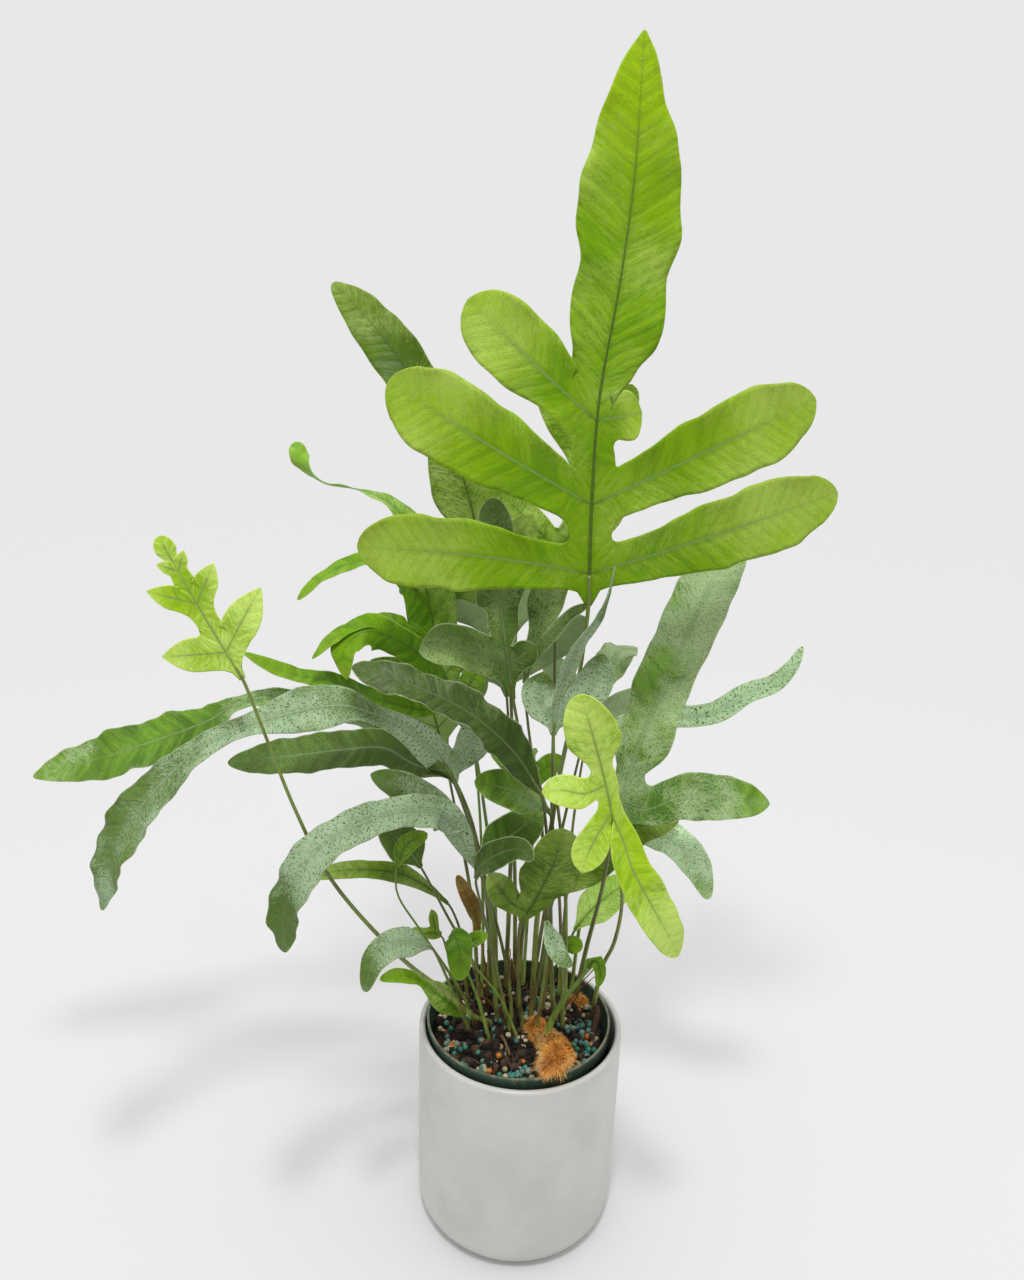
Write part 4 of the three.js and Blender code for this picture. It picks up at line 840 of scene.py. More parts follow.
# base and dark: the green of the blade. bloom: the waxy bluish haze on it, cover how much of it there is
# (about -0.1 to 0.1), grain how speckled it is, crisp how sharply, tipBloom what is added towards the tips
# of side lobes, endBloom towards all tips. specks: how strong the dark specks are.
# tip: colour of the tips from the share tipFrom on. ribShow, veinShow and edgeShow: how strong the lines are.
leafLooks = {
    "tallGreen": dict(
        base="6c9200", dark="577e00", bloom="94ae48", tip="8eaa0c", speck="466a00", under="7f9a4c",
        rib="3e5020", lobeRib="6f8650", vein="456a00", edge="8fae30", stalk="olive", shine=0.12,
        cover=-0.085, grain=0.34, crisp=0.13, tipBloom=0.12, endBloom=0.0, specks=0.35,
        tipFrom=0.35, tipShow=0.6, ribShow=0.8, veinShow=0.06, edgeShow=0.35),
    "freshGreen": dict(
        base="648c0c", dark="3f6408", bloom="96b25c", tip="7c9e1c", speck="36520a", under="789f3c",
        rib="3f5018", vein="456a10", edge="86a44a", stalk="green", shine=0.14,
        cover=-0.06, grain=0.25, crisp=0.09, tipBloom=-0.04, endBloom=-0.02, specks=0.45,
        tipFrom=0.5, tipShow=0.5, ribShow=0.6, veinShow=0.12, edgeShow=0.4),
    "deepGreen": dict(
        base="5f8012", dark="3e5a08", bloom="8ca44e", tip="7b9430", speck="2e430a", under="88a05e",
        rib="344214", vein="3a5210", edge="87994e", stalk="brown", shine=0.16,
        cover=-0.04, grain=0.28, crisp=0.08, tipBloom=0.0, endBloom=0.0, specks=0.5,
        tipFrom=0.6, tipShow=0.4, ribShow=0.65, veinShow=0.15, edgeShow=0.5),
    "greyGreen": dict(
        base="506e22", dark="375010", bloom="829a5a", tip="708a46", speck="2c4010", under="7f9468",
        rib="76895a", vein="40561f", edge="b4c090", stalk="brown", shine=0.2,
        cover=-0.015, grain=0.4, crisp=0.06, tipBloom=-0.01, endBloom=0.0, specks=0.7,
        tipFrom=0.6, tipShow=0.35, ribShow=0.55, veinShow=0.15, edgeShow=0.75),
    "glaucous": dict(
        base="66823a", dark="49601f", bloom="a0b892", tip="5a7a2c", speck="3f5c18", under="90a582",
        rib="a3b894", vein="5c7648", edge="a9b98c", stalk="olive", shine=0.22,
        cover=0.06, grain=0.42, crisp=0.045, tipBloom=-0.04, endBloom=-0.1, specks=0.95,
        tipFrom=0.6, tipShow=0.5, ribShow=0.3, veinShow=0.08, edgeShow=0.4),
    "mottled": dict(
        base="6d9428", dark="446810", bloom="9db482", tip="7a9c26", speck="38560f", under="93a97c",
        rib="93a878", vein="4f6c30", edge="b0c08e", stalk="brown", shine=0.2,
        cover=0.045, grain=0.42, crisp=0.055, tipBloom=-0.03, endBloom=-0.03, specks=0.65,
        tipFrom=0.7, tipShow=0.4, ribShow=0.4, veinShow=0.12, edgeShow=0.45),
    "lime": dict(
        base="98bc1c", dark="769c10", bloom="b6d068", tip="b4d040", speck="7c9c1c", under="a8c258",
        rib="71804c", vein="86a43c", edge="c6da66", stalk="olive", shine=0.12,
        cover=-0.02, grain=0.2, crisp=0.1, tipBloom=0.05, endBloom=0.0, specks=0.4,
        tipFrom=0.4, tipShow=0.5, ribShow=0.7, veinShow=0.12, edgeShow=0.5),
    "driedUp": dict(
        base="7c7430", dark="56481a", bloom="988a4a", tip="8a4f1e", speck="47300c", under="94703a",
        rib="5e4014", vein="6e4a18", edge="b88c4c", stalk="dry", shine=0.14,
        cover=0.0, grain=0.3, crisp=0.09, tipBloom=0.0, endBloom=0.0, specks=0.5,
        tipFrom=0.25, tipShow=0.9, ribShow=0.6, veinShow=0.4, edgeShow=0.4),
}

veinLook = {
    "slant": 0.7, "apart": 5.6, "width": 0.5, "depth": 0.0003,
    "wander": 5.0,                       # how far veins stray from straight lines, in mm
    # how fine across and along the veins, then how detailed and how rough
    "feather": (0.2, 0.03, 3, 0.6), "strokes": (0.9, 0.3, 2, 0.6), "grain": (1.15, 0.75, 2, 0.65),
    "roughness": (0.42, 0.62),           # green blade, and under full haze
    "underShow": 0.6,                    # how much paler the underside is
    "translucence": 0.1, "scatterDepth": 0.001,
}

stalkLooks = {  # colours near the soil and near the blade, and the marks on both
    "olive": ("95a150", "66782c", "56561f"),
    "green": ("9db254", "5e7c22", "4e6420"),
    "brown": ("8a9448", "566024", "4c4420"),
    "dry": ("7a5230", "8a5c30", "4a2f18"),
}
stalkScales = "2c2114"


def leafMaterial(name, look):
    material, tree, shader = freshMaterial(name + "Leaf")
    where = objectPlace(tree)
    u, v, edge = split(tree, meshValue(tree, "leafSpot"))
    tipShare, under, ribGap = split(tree, meshValue(tree, "leafKind"))
    # shade is painted light and shade: a factor that draws the whole frond lighter or darker for how lit it
    # stands.
    shade, cover, seed = split(tree, meshValue(tree, "leafPaintedLightAndHaze"))

    # Veins slant forward across the blade, so all that follows them runs along slant lines.
    ahead = maths(tree, "SUBTRACT", v, times(tree, u, veinLook["slant"]))
    ahead = total(tree, ahead, times(tree, cloud(tree, where, 35, 1), veinLook["wander"]))

    def along(acrossVeins, alongVeins, detail, rough):
        place = join(tree, times(tree, ahead, acrossVeins), times(tree, u, alongVeins), seed)
        return cloud(tree, place, 1.0, detail, rough)
    feather, strokes, grain = (along(*veinLook[key]) for key in ("feather", "strokes", "grain"))

    green = total(tree, times(tree, cloud(tree, where, 16, 2, 0.5), 0.5), times(tree, feather, 0.5))
    fresh = rise(tree, green, 0.41, 0.59)
    streaks = rise(tree, strokes, 0.38, 0.6, 0.6 * look["grain"], 0)
    tips = rise(tree, tipShare, look["tipFrom"], 1.0, 0, look["tipShow"])

    # The haze: broad drifts broken into fine speckles.
    lobeTips = times(tree, rise(tree, tipShare, 0.25, 0.85), rise(tree, ribGap, 12, 35, 0.3, 1))
    haze = total(tree, times(tree, cloud(tree, where, 27, 3), 0.5), times(tree, strokes, 0.5 - look["grain"]),
                 times(tree, grain, look["grain"]), times(tree, lobeTips, look["tipBloom"]),
                 rise(tree, tipShare, 0.5, 0.95, 0, look["endBloom"]), total(tree, cover, look["cover"]))
    haze = rise(tree, haze, 0.5 - look["crisp"], 0.5 + look["crisp"])
    specks = rise(tree, grain, 0.56, 0.61, 0, look["specks"])

    # Lines: veins, a soft halo along the ribs, the ribs themselves and the margin.
    lineGap = maths(tree, "PINGPONG", ahead, veinLook["apart"] / 2)
    veins = rise(tree, lineGap, 0.0, veinLook["width"], look["veinShow"], 0)
    nearRib = maths(tree, "MINIMUM", u, ribGap)
    fading = rise(tree, tipShare, 0.5, 0.92, 1, 0.2)
    halo = times(tree, rise(tree, nearRib, 0.2, 3.0, 0.3, 0), fading)
    ribs = times(tree, rise(tree, nearRib, 0.1, 0.75, look["ribShow"], 0), fading)
    ribColour = blend(tree, rise(tree, ribGap, 2, 9), look["rib"], look.get("lobeRib", look["rib"]))
    margin = rise(tree, edge, 0.0, 0.7, look["edgeShow"], 0)
    colour = coats(tree, look["dark"], (fresh, look["base"]), (streaks, look["dark"]), (tips, look["tip"]),
                   (haze, look["bloom"]), (specks, look["speck"]), (veins, look["vein"]),
                   (halo, look["vein"]), (ribs, ribColour), (margin, look["edge"]),
                   (times(tree, under, veinLook["underShow"]), look["under"]))
    # Painted light and shade: the colour is scaled by the frond's own factor for how lit or shaded it stands.
    paintedLightColour = tree.nodes.new("ShaderNodeVectorMath")
    paintedLightColour.operation = "SCALE"
    tree.links.new(colour, paintedLightColour.inputs[0])
    tree.links.new(shade, paintedLightColour.inputs["Scale"])
    setShader(tree, shader, {
        "Base Color": paintedLightColour.outputs[0],
        "Roughness": rise(tree, haze, 0, 1, *veinLook["roughness"]),
        "Specular IOR Level": look["shine"],
        "Subsurface Weight": veinLook["translucence"],
        "Subsurface Scale": veinLook["scatterDepth"],
    })
    swell = total(tree, rise(tree, lineGap, 0.0, 2.0, -0.7, 0), times(tree, feather, 1.2),
                  times(tree, strokes, 0.8))
    relief(tree, shader, swell, veinLook["depth"], 0.7)
    return material


def stalkMaterial(name, look):
    material, tree, shader = freshMaterial(name + "Stalk")
    where = objectPlace(tree)
    _, length, _ = split(tree, meshValue(tree, "leafSpot"))
    share, _, _ = split(tree, meshValue(tree, "leafKind"))
    low, high, marks = look
    drawnOut = join(tree, times(tree, length, 0.05), times(tree, split(tree, where)[0], 300))
    colour = coats(tree, low, (rise(tree, share, 0.02, 0.5), high),
                   (blotches(tree, drawnOut, 1.0, 3, 0.42, 0.68, 0.8), marks),
                   (blotches(tree, where, 700, 2, 0.66, 0.72, 0.6), stalkScales))
    setShader(tree, shader, {"Base Color": colour, "Roughness": 0.45})
    relief(tree, shader, cloud(tree, where, 900, 2), 0.0002, 0.5)
    return material


# Fronds: each a stalk and a thin lobed blade

def bent(angle, length, width, droop=0, sweep=0, twist=0):  # a lobe that leaves the rib at an angle
    return {"angle": angle, "length": length, "width": width, "droop": droop, "sweep": sweep, "twist": twist}


def traced(width, way, face, haze=0):  # a lobe whose rib runs through points, and how its tip faces
    return {"width": width, "way": way, "face": face, "haze": haze}


bladeLook = {
    "halves": 8,                 # cells from the midrib to a margin
    "cell": 2.4,                 # length of a cell
    "edge": 0.15, "body": 0.24,  # half thickness at the margin and inside
    "bodyFrom": 3,               # distance from the margin to the full thickness
    "neck": 0.3, "longestNeck": 24,    # share of a lobe that its foot takes, and no more than this
    "smallLobe": 32, "smallNeck": 0.42,
    "end": 1.015,                # blades and lobes end just past their rib
    "blunt": 2.3, "waist": 0.72,       # for fronds that give no others
    "fold": 0.1,                 # rise of the margins, as a share of the half width
    "waveLength": 31, "rippleLength": 11.5, "ripple": 0.32, "waveShift": 2.1,
    "steps": 12,                 # a bent lobe turns a little at each
    "turnIn": 0.6, "bulge": 0.45,      # rounding of an outlined end lobe, for its last half width
    "footWing": 1.3,             # half width where a blade begins
    "sinusAhead": 0.2,           # how far gaps between lobes lie towards the tip
    "stalkRadii": (1.55, 0.85),  # near the soil and near the blade, for a thickness of 1
    "ribRadius": 0.78, "ribTaper": 0.6, "lobeRibRadius": 0.36, "lobeRibTaper": 0.26,
    "holeDepth": 11, "stalkSides": 10, "ribSides": 6,
}

# Angles and bends of lobes are in degrees.
# foot: where the stalk leaves the soil. stalk: points up to the blade. rib: the main rib to the tip.
# face: the way the upper side looks, faceTip the same at the tip. thick: stoutness. width: of the end lobe.
# wing: half width between lobes. wave: height of the waves. blunt: 3 for round lobe tips, 1.8 for sharp ones.
# waist: width of a lobe's neck against its widest. ripple: above 1, more crimped at the margins.
# The pair after the look: painted light and shade, a factor that draws the whole frond lighter or darker for
# how lit or shaded it stands, then how much more or less haze it has.
# A pair of lobes ends at the share "to".
# outline: half widths left and right at shares of the rib.
frondTable = [
    dict(name="frond_tall", look="tallGreen", foot=(8, 20),
         stalk=[(7, -4, 200), (9, -25, 250), (12, -38, 300), (17, -47, 345)],
         rib=[(20, -55, 396), (18, -62, 446), (18, -68, 489), (23, -75, 537), (25, -82, 573),
              (24, -92, 620)],
         face=(0, -1, .05), thick=1.15, width=42, wing=9, wave=1.2, blunt=3, waist=.52,
         pairs=[dict(to=.14, wing=9.5, left=bent(77, 105, 35, 8, -14), right=bent(74, 115, 34, 6, 3)),
                dict(to=.285, wing=9.5, left=bent(61, 101, 37, 8, 3), right=bent(64, 104, 35, 6, 0)),
                dict(to=.465, wing=14, left=bent(53, 72, 31, 6, 4), right=bent(76, 19, 22))],
         outline=[(.52, 16, 19.5), (.58, 18.5, 19.5), (.64, 17.5, 18.5), (.71, 20.5, 21), (.78, 20.5, 18),
                  (.85, 17, 14.5), (.91, 12.5, 9), (.965, 6.5, 5), (1, .8, .8)]),
    dict(name="frond_back_left", look="deepGreen", foot=(-8, 34),
         stalk=[(-8, 30, 200), (-9, 20, 270), (-12, 12, 325)],
         rib=[(-16, 10, 359), (-24, 10, 381), (-32, 11, 410), (-36, 13, 430), (-47, 17, 459),
              (-74, 25, 501), (-92, 29, 522), (-107, 31, 536)],
         face=(.1, -1, .15), thick=1.05, width=27, wing=9, wave=1.6,
         pairs=[dict(to=.3, wing=11, left=bent(62, 40, 22, 12), right=bent(48, 44, 20, 14))],
         outline=[(.37, 17, 17), (.45, 17, 16), (.54, 12, 12), (.63, 12.5, 12.5), (.74, 13, 13),
                  (.84, 12, 12), (.93, 9, 9), (1, 3, 3)]),
    dict(name="frond_behind", look="deepGreen", paintedLightAndHaze=(1.8, 0), foot=(17, 30),
         stalk=[(17, 31, 190), (15, 32, 260), (13, 31, 330)],
         rib=[(12, 30, 376), (16, 28, 410), (24, 24, 440), (33, 18, 468), (42, 8, 492)],
         face=(.1, -1, .1), thick=1, width=17, wing=5, wave=1.6,
         pairs=[dict(to=.42, left=bent(54, 52, 18, 8), right=bent(46, 40, 11, 16)),
                dict(to=.78, left=bent(52, 54, 16, 2, 8), right=None)]),
    dict(name="frond_middle", look="greyGreen", paintedLightAndHaze=(1.02, .01), foot=(-1, 14),
         stalk=[(-1, 8, 170), (0, -8, 230), (-5, -21, 300)],
         rib=[(-12, -22, 337), (-16, -19, 361), (-20, -14, 387), (-23, -10, 412), (-25, -6, 436)],
         face=(.05, -.95, .3), thick=1, width=20, wing=8, wave=1.4,
         pairs=[dict(to=.36, wing=8,
                     left=traced(23, [(-30, -24, 362), (-44, -28, 367), (-59, -30, 364)], (.2, -.8, .6)),
                     right=bent(64, 17, 15)),
                dict(to=.62, wing=8, left=bent(50, 14, 15), right=bent(38, 30, 16, 8))]),
    dict(name="frond_middle_right", look="greyGreen", paintedLightAndHaze=(1.15, .02), foot=(14, 13),
         stalk=[(14, 14, 180), (8, 14, 250), (-2, 9, 310)],
         rib=[(-5, 6, 336), (-3, 5, 352), (2, 8, 372), (8, 12, 392), (14, 16, 406)],
         face=(.1, -.95, .2), thick=.9, width=20, wing=4, wave=1.4,
         pairs=[dict(to=.36, left=None,
                     right=traced(8, [(8, 4, 364), (17, 0, 376), (26, -6, 384)], (.1, -.6, .8)))]),
    dict(name="frond_arched", look="greyGreen", paintedLightAndHaze=(.6, -.05), foot=(20, 5),
         stalk=[(16, -5, 170), (11, -28, 235), (5, -46, 285)],
         rib=[(2, -56, 301), (-13, -60, 325), (-34, -66, 346), (-52, -67, 356), (-70, -66, 362),
              (-87, -63, 366)],
         face=(-.25, -.62, .78), faceTip=(0, -.62, .8), thick=1, width=24, wing=5, wave=2.4, ripple=2,
         outline=[(.08, 5, 4), (.2, 9, 9), (.36, 9, 11), (.52, 8, 11), (.7, 8, 9), (.86, 8, 8), (.96, 6, 6),
                  (1, 3, 3)]),
    dict(name="frond_three_lobes", look="glaucous", paintedLightAndHaze=(.84, .02), foot=(27, 9),
         stalk=[(25, 1, 170), (19, -24, 240), (10, -46, 300)],
         rib=[(7, -52, 330), (8, -57, 352), (12, -62, 369), (16, -66, 382), (22, -70, 393), (26, -73, 405),
              (28, -75, 418)],
         face=(.1, -1, .15), faceTip=(.97, -.25, .1), thick=.9, width=12, wing=2.5, wave=.8,
         pairs=[dict(to=.2,
                     left=traced(18, [(2, -51, 343), (-1, -50, 351), (1, -49, 361)], (.3, -.9, .2)),
                     right=traced(18, [(18, -56, 349), (25, -56, 359), (28, -57, 373)], (-.2, -.95, .2)))]),
    dict(name="frond_right", look="mottled", foot=(35, 24),
         stalk=[(38, 9, 170), (42, -9, 220)],
         rib=[(45, -15, 258), (50, -14, 284), (57, -12, 312), (67, -8, 339), (79, -2, 368), (92, 7, 396),
              (107, 20, 424)],
         face=(-.3, -.92, .25), thick=1.05, width=33, wing=7, wave=1.6, ripple=1.6,
         pairs=[dict(to=.2, wing=8, left=None,
                     right=traced(25, [(60, -18, 274), (78, -23, 284), (98, -28, 287), (122, -32, 286)],
                                  (-.2, -.75, .6)))],
         outline=[(.28, 13, 15), (.34, 13, 16), (.42, 15, 14), (.54, 16, 14), (.66, 16, 14), (.78, 16, 14),
                  (.88, 14, 12), (.95, 9, 8), (1, 4, 4)]),
    dict(name="frond_lime_front", look="lime", foot=(45, 14),
         stalk=[(46, -4, 165), (47, -34, 203), (45, -60, 243), (38, -82, 280)],
         rib=[(33, -90, 303), (30, -93, 316), (25, -95, 334), (20, -98, 350), (14, -100, 368)],
         face=(.25, -.9, .3), faceTip=(-.35, -.9, .1), thick=.9, width=24, wing=5, wave=1,
         pairs=[dict(to=.2,
                     left=traced(16, [(26, -95, 301), (21, -98, 291), (19, -99, 283)], (-.1, -1, .1)),
                     right=traced(20, [(38, -94, 295), (42, -97, 284), (48, -98, 273), (57, -97, 257),
                                       (64, -94, 244), (68, -91, 235)], (.3, -.9, .4))),
                dict(to=.44,
                     left=traced(15, [(18, -95, 320), (9, -94, 321), (0, -92, 319)], (0, -.9, .4)),
                     right=None)]),
    dict(name="frond_lime_left", look="lime", foot=(-18, -3),
         stalk=[(-27, -16, 140), (-46, -42, 178), (-66, -58, 208), (-98, -74, 262), (-113, -80, 302),
                (-124, -81, 336)],
         rib=[(-134, -80, 365), (-151, -80, 397), (-166, -80, 427)],
         face=(.05, -.98, .2), thick=.9, width=9, wing=5, wave=.5, blunt=1.95, waist=.7,
         pairs=[dict(to=.4, wing=5, left=bent(66, 27, 16, 4), right=bent(54, 32, 16, 4, -6)),
                dict(to=.7, wing=4.5, left=bent(48, 21, 11), right=bent(50, 19, 11)),
                dict(to=.86, wing=3, left=bent(46, 9, 6), right=bent(44, 9, 6))]),
    dict(name="frond_long_left", look="glaucous", paintedLightAndHaze=(.9, 0), foot=(-15, 14),
         stalk=[(-16, 4, 170), (-21, -16, 216), (-26, -26, 246), (-33, -36, 279)],
         rib=[(-40, -42, 299), (-45, -44, 309), (-53, -46, 319), (-65, -48, 331), (-78, -51, 338),
              (-94, -55, 344), (-124, -61, 340), (-154, -67, 329), (-182, -73, 303), (-199, -77, 277),
              (-206, -79, 248)],
         face=(.1, -.85, .5), faceTip=(-.6, -.75, .25), thick=1, width=24, wing=7, wave=1.6, ripple=1.6,
         pairs=[dict(to=.07, wing=8,
                     left=traced(21, [(-60, -37, 306), (-77, -30, 312), (-97, -26, 309), (-126, -22, 303),
                                      (-158, -18, 297)], (0, -.7, .7), -.2),
                     right=traced(18, [(-33, -46, 320), (-29, -48, 331), (-24, -50, 344)],
                                  (.1, -1, .15)))],
         outline=[(.12, 8, 8), (.2, 6, 5), (.26, 5, 5), (.32, 9.5, 9.5), (.38, 11, 11), (.44, 8.5, 8.5),
                  (.51, 5, 5), (.59, 6, 6), (.68, 8.5, 8.5), (.78, 11.5, 12), (.87, 11.5, 12), (.95, 8, 8),
                  (1, 2.5, 2.5)]),
    dict(name="frond_far_left", look="mottled", paintedLightAndHaze=(1.05, -.08), foot=(-18, 32),
         stalk=[(-22, 30, 190), (-36, 26, 250), (-52, 22, 285)],
         rib=[(-75, 16, 300), (-110, 10, 316), (-144, 4, 325), (-160, 2, 321), (-173, 0, 313),
              (-202, -4, 302), (-236, -8, 291), (-264, -10, 283)],
         face=(0, -.35, .95), faceTip=(-.15, -.82, .55), thick=1, width=28, wing=4, wave=1.8, ripple=1.5,
         outline=[(.1, 5, 5), (.24, 7, 7), (.36, 6, 6), (.44, 5, 5), (.52, 9, 9), (.6, 13, 12),
                  (.7, 14, 13), (.8, 13, 13), (.9, 9, 10), (.96, 5, 6), (1, 1.5, 1.5)]),
    dict(name="frond_low_arch", look="glaucous", paintedLightAndHaze=(.79, 0), foot=(-14, 3),
         stalk=[(-17, -7, 165), (-21, -21, 215)],
         rib=[(-27, -32, 244), (-33, -37, 260), (-40, -44, 276), (-47, -52, 287), (-57, -60, 292),
              (-67, -69, 296), (-90, -85, 294), (-105, -94, 284), (-115, -100, 261), (-116, -102, 243)],
         face=(-.2, -.7, .7), faceTip=(-.55, -.8, .1), thick=.95, width=21, wing=4, wave=2, ripple=2,
         pairs=[dict(to=.2, wing=7, left=None,
                     right=traced(17, [(-45, -47, 283), (-56, -51, 294), (-68, -54, 303), (-80, -56, 309)],
                                  (0, -.9, .5)))],
         outline=[(.28, 9, 8), (.38, 8, 8), (.48, 8, 8), (.6, 9, 8), (.72, 10, 9), (.84, 10, 10),
                  (.94, 8, 8), (1, 4, 4)]),
    dict(name="frond_dark_left", look="freshGreen", paintedLightAndHaze=(1.25, .05), foot=(-14, 42),
         stalk=[(-17, 36, 190), (-24, 18, 250), (-31, 8, 295)],
         rib=[(-37, 4, 316), (-43, 3, 330), (-51, 2, 350), (-55, 2, 372), (-60, 3, 395), (-66, 5, 416),
              (-76, 7, 430), (-93, 9, 437), (-112, 11, 440), (-122, 12, 449), (-125, 13, 458)],
         face=(.1, -1, .15), faceTip=(-.3, .4, .85), thick=.95, width=28, wing=7, wave=1.5,
         pairs=[dict(to=.1, wing=6,
                     left=traced(12, [(-57, 2, 321), (-83, 0, 327), (-105, -3, 337), (-129, -4, 342),
                                      (-151, -4, 352)], (.1, -.4, .9), -.1),
                     right=bent(52, 24, 14)),
                dict(to=.2, wing=7,
                     left=traced(19, [(-58, 0, 350), (-72, -6, 362), (-88, -12, 368), (-98, -17, 360),
                                      (-97, -20, 346)], (-.6, -.75, .2), -.1),
                     right=bent(60, 18, 13)),
                dict(to=.3, wing=13,
                     left=traced(11, [(-70, -2, 369), (-82, -5, 372), (-95, -9, 369), (-106, -13, 363),
                                      (-114, -16, 355)], (-.2, -.3, .95), -.1), right=None),
                dict(to=.4, wing=14,
                     left=traced(12, [(-80, -2, 403), (-96, -6, 402), (-110, -10, 395), (-121, -13, 385)],
                                 (-.2, -.35, .9), -.1), right=None)],
         outline=[(.46, 13, 14), (.54, 10, 12), (.63, 7, 8), (.72, 6, 6), (.81, 5, 5), (.89, 4, 4),
                  (.95, 5, 5), (1, 4, 4)]),
    dict(name="frond_small_green", look="freshGreen", foot=(-23, 24),
         stalk=[(-24, 22, 190), (-28, 18, 260)],
         rib=[(-33, 15, 300), (-45, 15, 322), (-62, 13, 336), (-88, 11, 344)],
         face=(0, -.7, .7), thick=.8, width=17, wing=4, wave=1),
    dict(name="frond_low_right", look="deepGreen", foot=(6, 5),
         stalk=[(10, 5, 150), (13, 3, 185)],
         rib=[(17, 0, 211), (28, 2, 225), (44, 6, 241), (63, 8, 252), (85, 8, 255)],
         face=(-.2, -.9, .4), thick=.9, width=24, wing=5, wave=1.2,
         outline=[(.14, 7, 9), (.3, 11, 15), (.45, 12, 15), (.6, 12, 13), (.75, 13, 11), (.9, 9, 8),
                  (1, 2, 2)]),
    dict(name="frond_pale_right", look="freshGreen", paintedLightAndHaze=(2.4, .08), foot=(27, 38),
         stalk=[(28, 32, 142)],
         rib=[(32, 24, 172), (42, 26, 185), (53, 29, 194), (66, 31, 203)],
         face=(-.2, -.85, .5), thick=.85, width=22, wing=4, wave=1),
    dict(name="frond_tiny_right", look="freshGreen", foot=(22, 43),
         stalk=[(23, 33, 140)],
         rib=[(25, 21, 160), (30, 19, 165), (37, 20, 163)],
         face=(-.1, -.8, .6), thick=.65, width=11, wing=3, wave=.5),
    dict(name="frond_centre", look="deepGreen", foot=(1, -3),
         stalk=[(-2, -12, 150), (-4, -20, 185)],
         rib=[(-4, -31, 213), (1, -37, 226), (6, -44, 243), (11, -50, 261), (14, -54, 280)],
         face=(.1, -.95, .25), thick=.9, width=30, wing=9, wave=1.2,
         pairs=[dict(to=.28, wing=9,
                     left=traced(15, [(-9, -36, 227), (-16, -40, 238), (-22, -44, 249)], (.2, -.9, .3)),
                     right=None)]),
    dict(name="frond_leaning_leaf", look="greyGreen", paintedLightAndHaze=(1.75, -.06), foot=(-5, 3),
         stalk=[(-9, 0, 160), (-20, -7, 210)],
         rib=[(-28, -15, 240), (-19, -18, 250), (-8, -21, 261), (5, -23.5, 274)],
         face=(.1, -.85, .5), thick=.8, width=24, wing=4, wave=1.2),
    dict(name="frond_curled_tip", look="greyGreen", paintedLightAndHaze=(.77, -.06), foot=(-7, -9),
         stalk=[(-13, -18, 160), (-22, -26, 205)],
         rib=[(-29, -34, 240), (-26, -40, 252), (-17, -46, 262), (-7, -52, 268), (-1, -58, 266)],
         face=(-.3, -.75, .6), thick=.85, width=15, wing=4, wave=1.4, ripple=2.2),
    dict(name="frond_mottled", look="mottled", paintedLightAndHaze=(.95, -.1), foot=(25, -3),
         stalk=[(21, -13, 180), (15, -27, 240)],
         rib=[(8, -38, 282), (0, -42, 290), (-10, -46, 297), (-21, -50, 302), (-30, -53, 305)],
         face=(.1, -.85, .5), thick=.85, width=20, wing=4, wave=1),
    dict(name="frond_pointed_left", look="greyGreen", paintedLightAndHaze=(1.02, -.07), foot=(-24, 12),
         stalk=[(-28, 2, 160), (-44, -16, 206)],
         rib=[(-58, -28, 243), (-64, -32, 255), (-70, -35, 264), (-78, -39, 272)],
         face=(.1, -.9, .4), thick=.75, width=20, wing=3, wave=1),
    dict(name="frond_thread_left", look="freshGreen", foot=(-28, 2),
         stalk=[(-37, -16, 160), (-58, -38, 212), (-69, -48, 240)],
         rib=[(-69, -50, 256), (-64, -49, 268), (-54, -47, 273)],
         face=(0, -.9, .4), thick=.6, width=10, wing=2, wave=.6),
    dict(name="frond_narrow_left", look="deepGreen", foot=(-32, 22),
         stalk=[(-34, 14, 150), (-37, 2, 185)],
         rib=[(-44, -8, 209), (-55, -12, 221), (-68, -16, 231), (-81, -20, 236), (-100, -26, 239),
              (-118, -32, 238)],
         face=(0, -.5, .85), thick=.75, width=12, wing=3, wave=1.4),
    dict(name="frond_low_left", look="glaucous", paintedLightAndHaze=(.85, 0), foot=(-31, -7),
         stalk=[(-36, -19, 148), (-43, -33, 178)],
         rib=[(-51, -46, 206), (-60, -59, 218), (-70, -69, 223), (-78, -75, 218), (-82, -79, 204)],
         face=(0, -.6, .8), faceTip=(-.5, -.85, 0), thick=.75, width=15, wing=4, wave=1.2),
    dict(name="frond_dark_small", look="deepGreen", foot=(-36, 8),
         stalk=[(-38, -3, 148), (-43, -14, 178)],
         rib=[(-47, -22, 198), (-52, -26, 202), (-59, -30, 202), (-66, -34, 199)],
         face=(0, -.8, .6), thick=.65, width=11, wing=3, wave=.6,
         pairs=[dict(to=.4, left=None, right=bent(58, 13, 7, 0))]),
    dict(name="frond_drooping", look="freshGreen", paintedLightAndHaze=(.86, -.02), foot=(-19, -15),
         stalk=[(-26, -23, 158), (-36, -30, 190)],
         rib=[(-42, -38, 208), (-40, -44, 213), (-37, -49, 211), (-36, -53, 202), (-36, -55, 193)],
         face=(0, -.6, .8), faceTip=(-.1, -1, .1), thick=.7, width=14, wing=3, wave=.8),
    dict(name="frond_tiny_left", look="freshGreen", paintedLightAndHaze=(1.2, 0), foot=(-3, -14),
         stalk=[(-14, -24, 160), (-29, -34, 188)],
         rib=[(-33, -38, 201), (-29, -41, 208), (-22, -44, 213)],
         face=(0, -.8, .6), thick=.6, width=8, wing=2, wave=.5),
    dict(name="frond_by_rim", look="freshGreen", paintedLightAndHaze=(1.25, -.02), foot=(-31, 0),
         stalk=[],
         rib=[(-33, -9, 135), (-44, -14, 149), (-54, -18, 161), (-62, -21, 169), (-72, -23, 172),
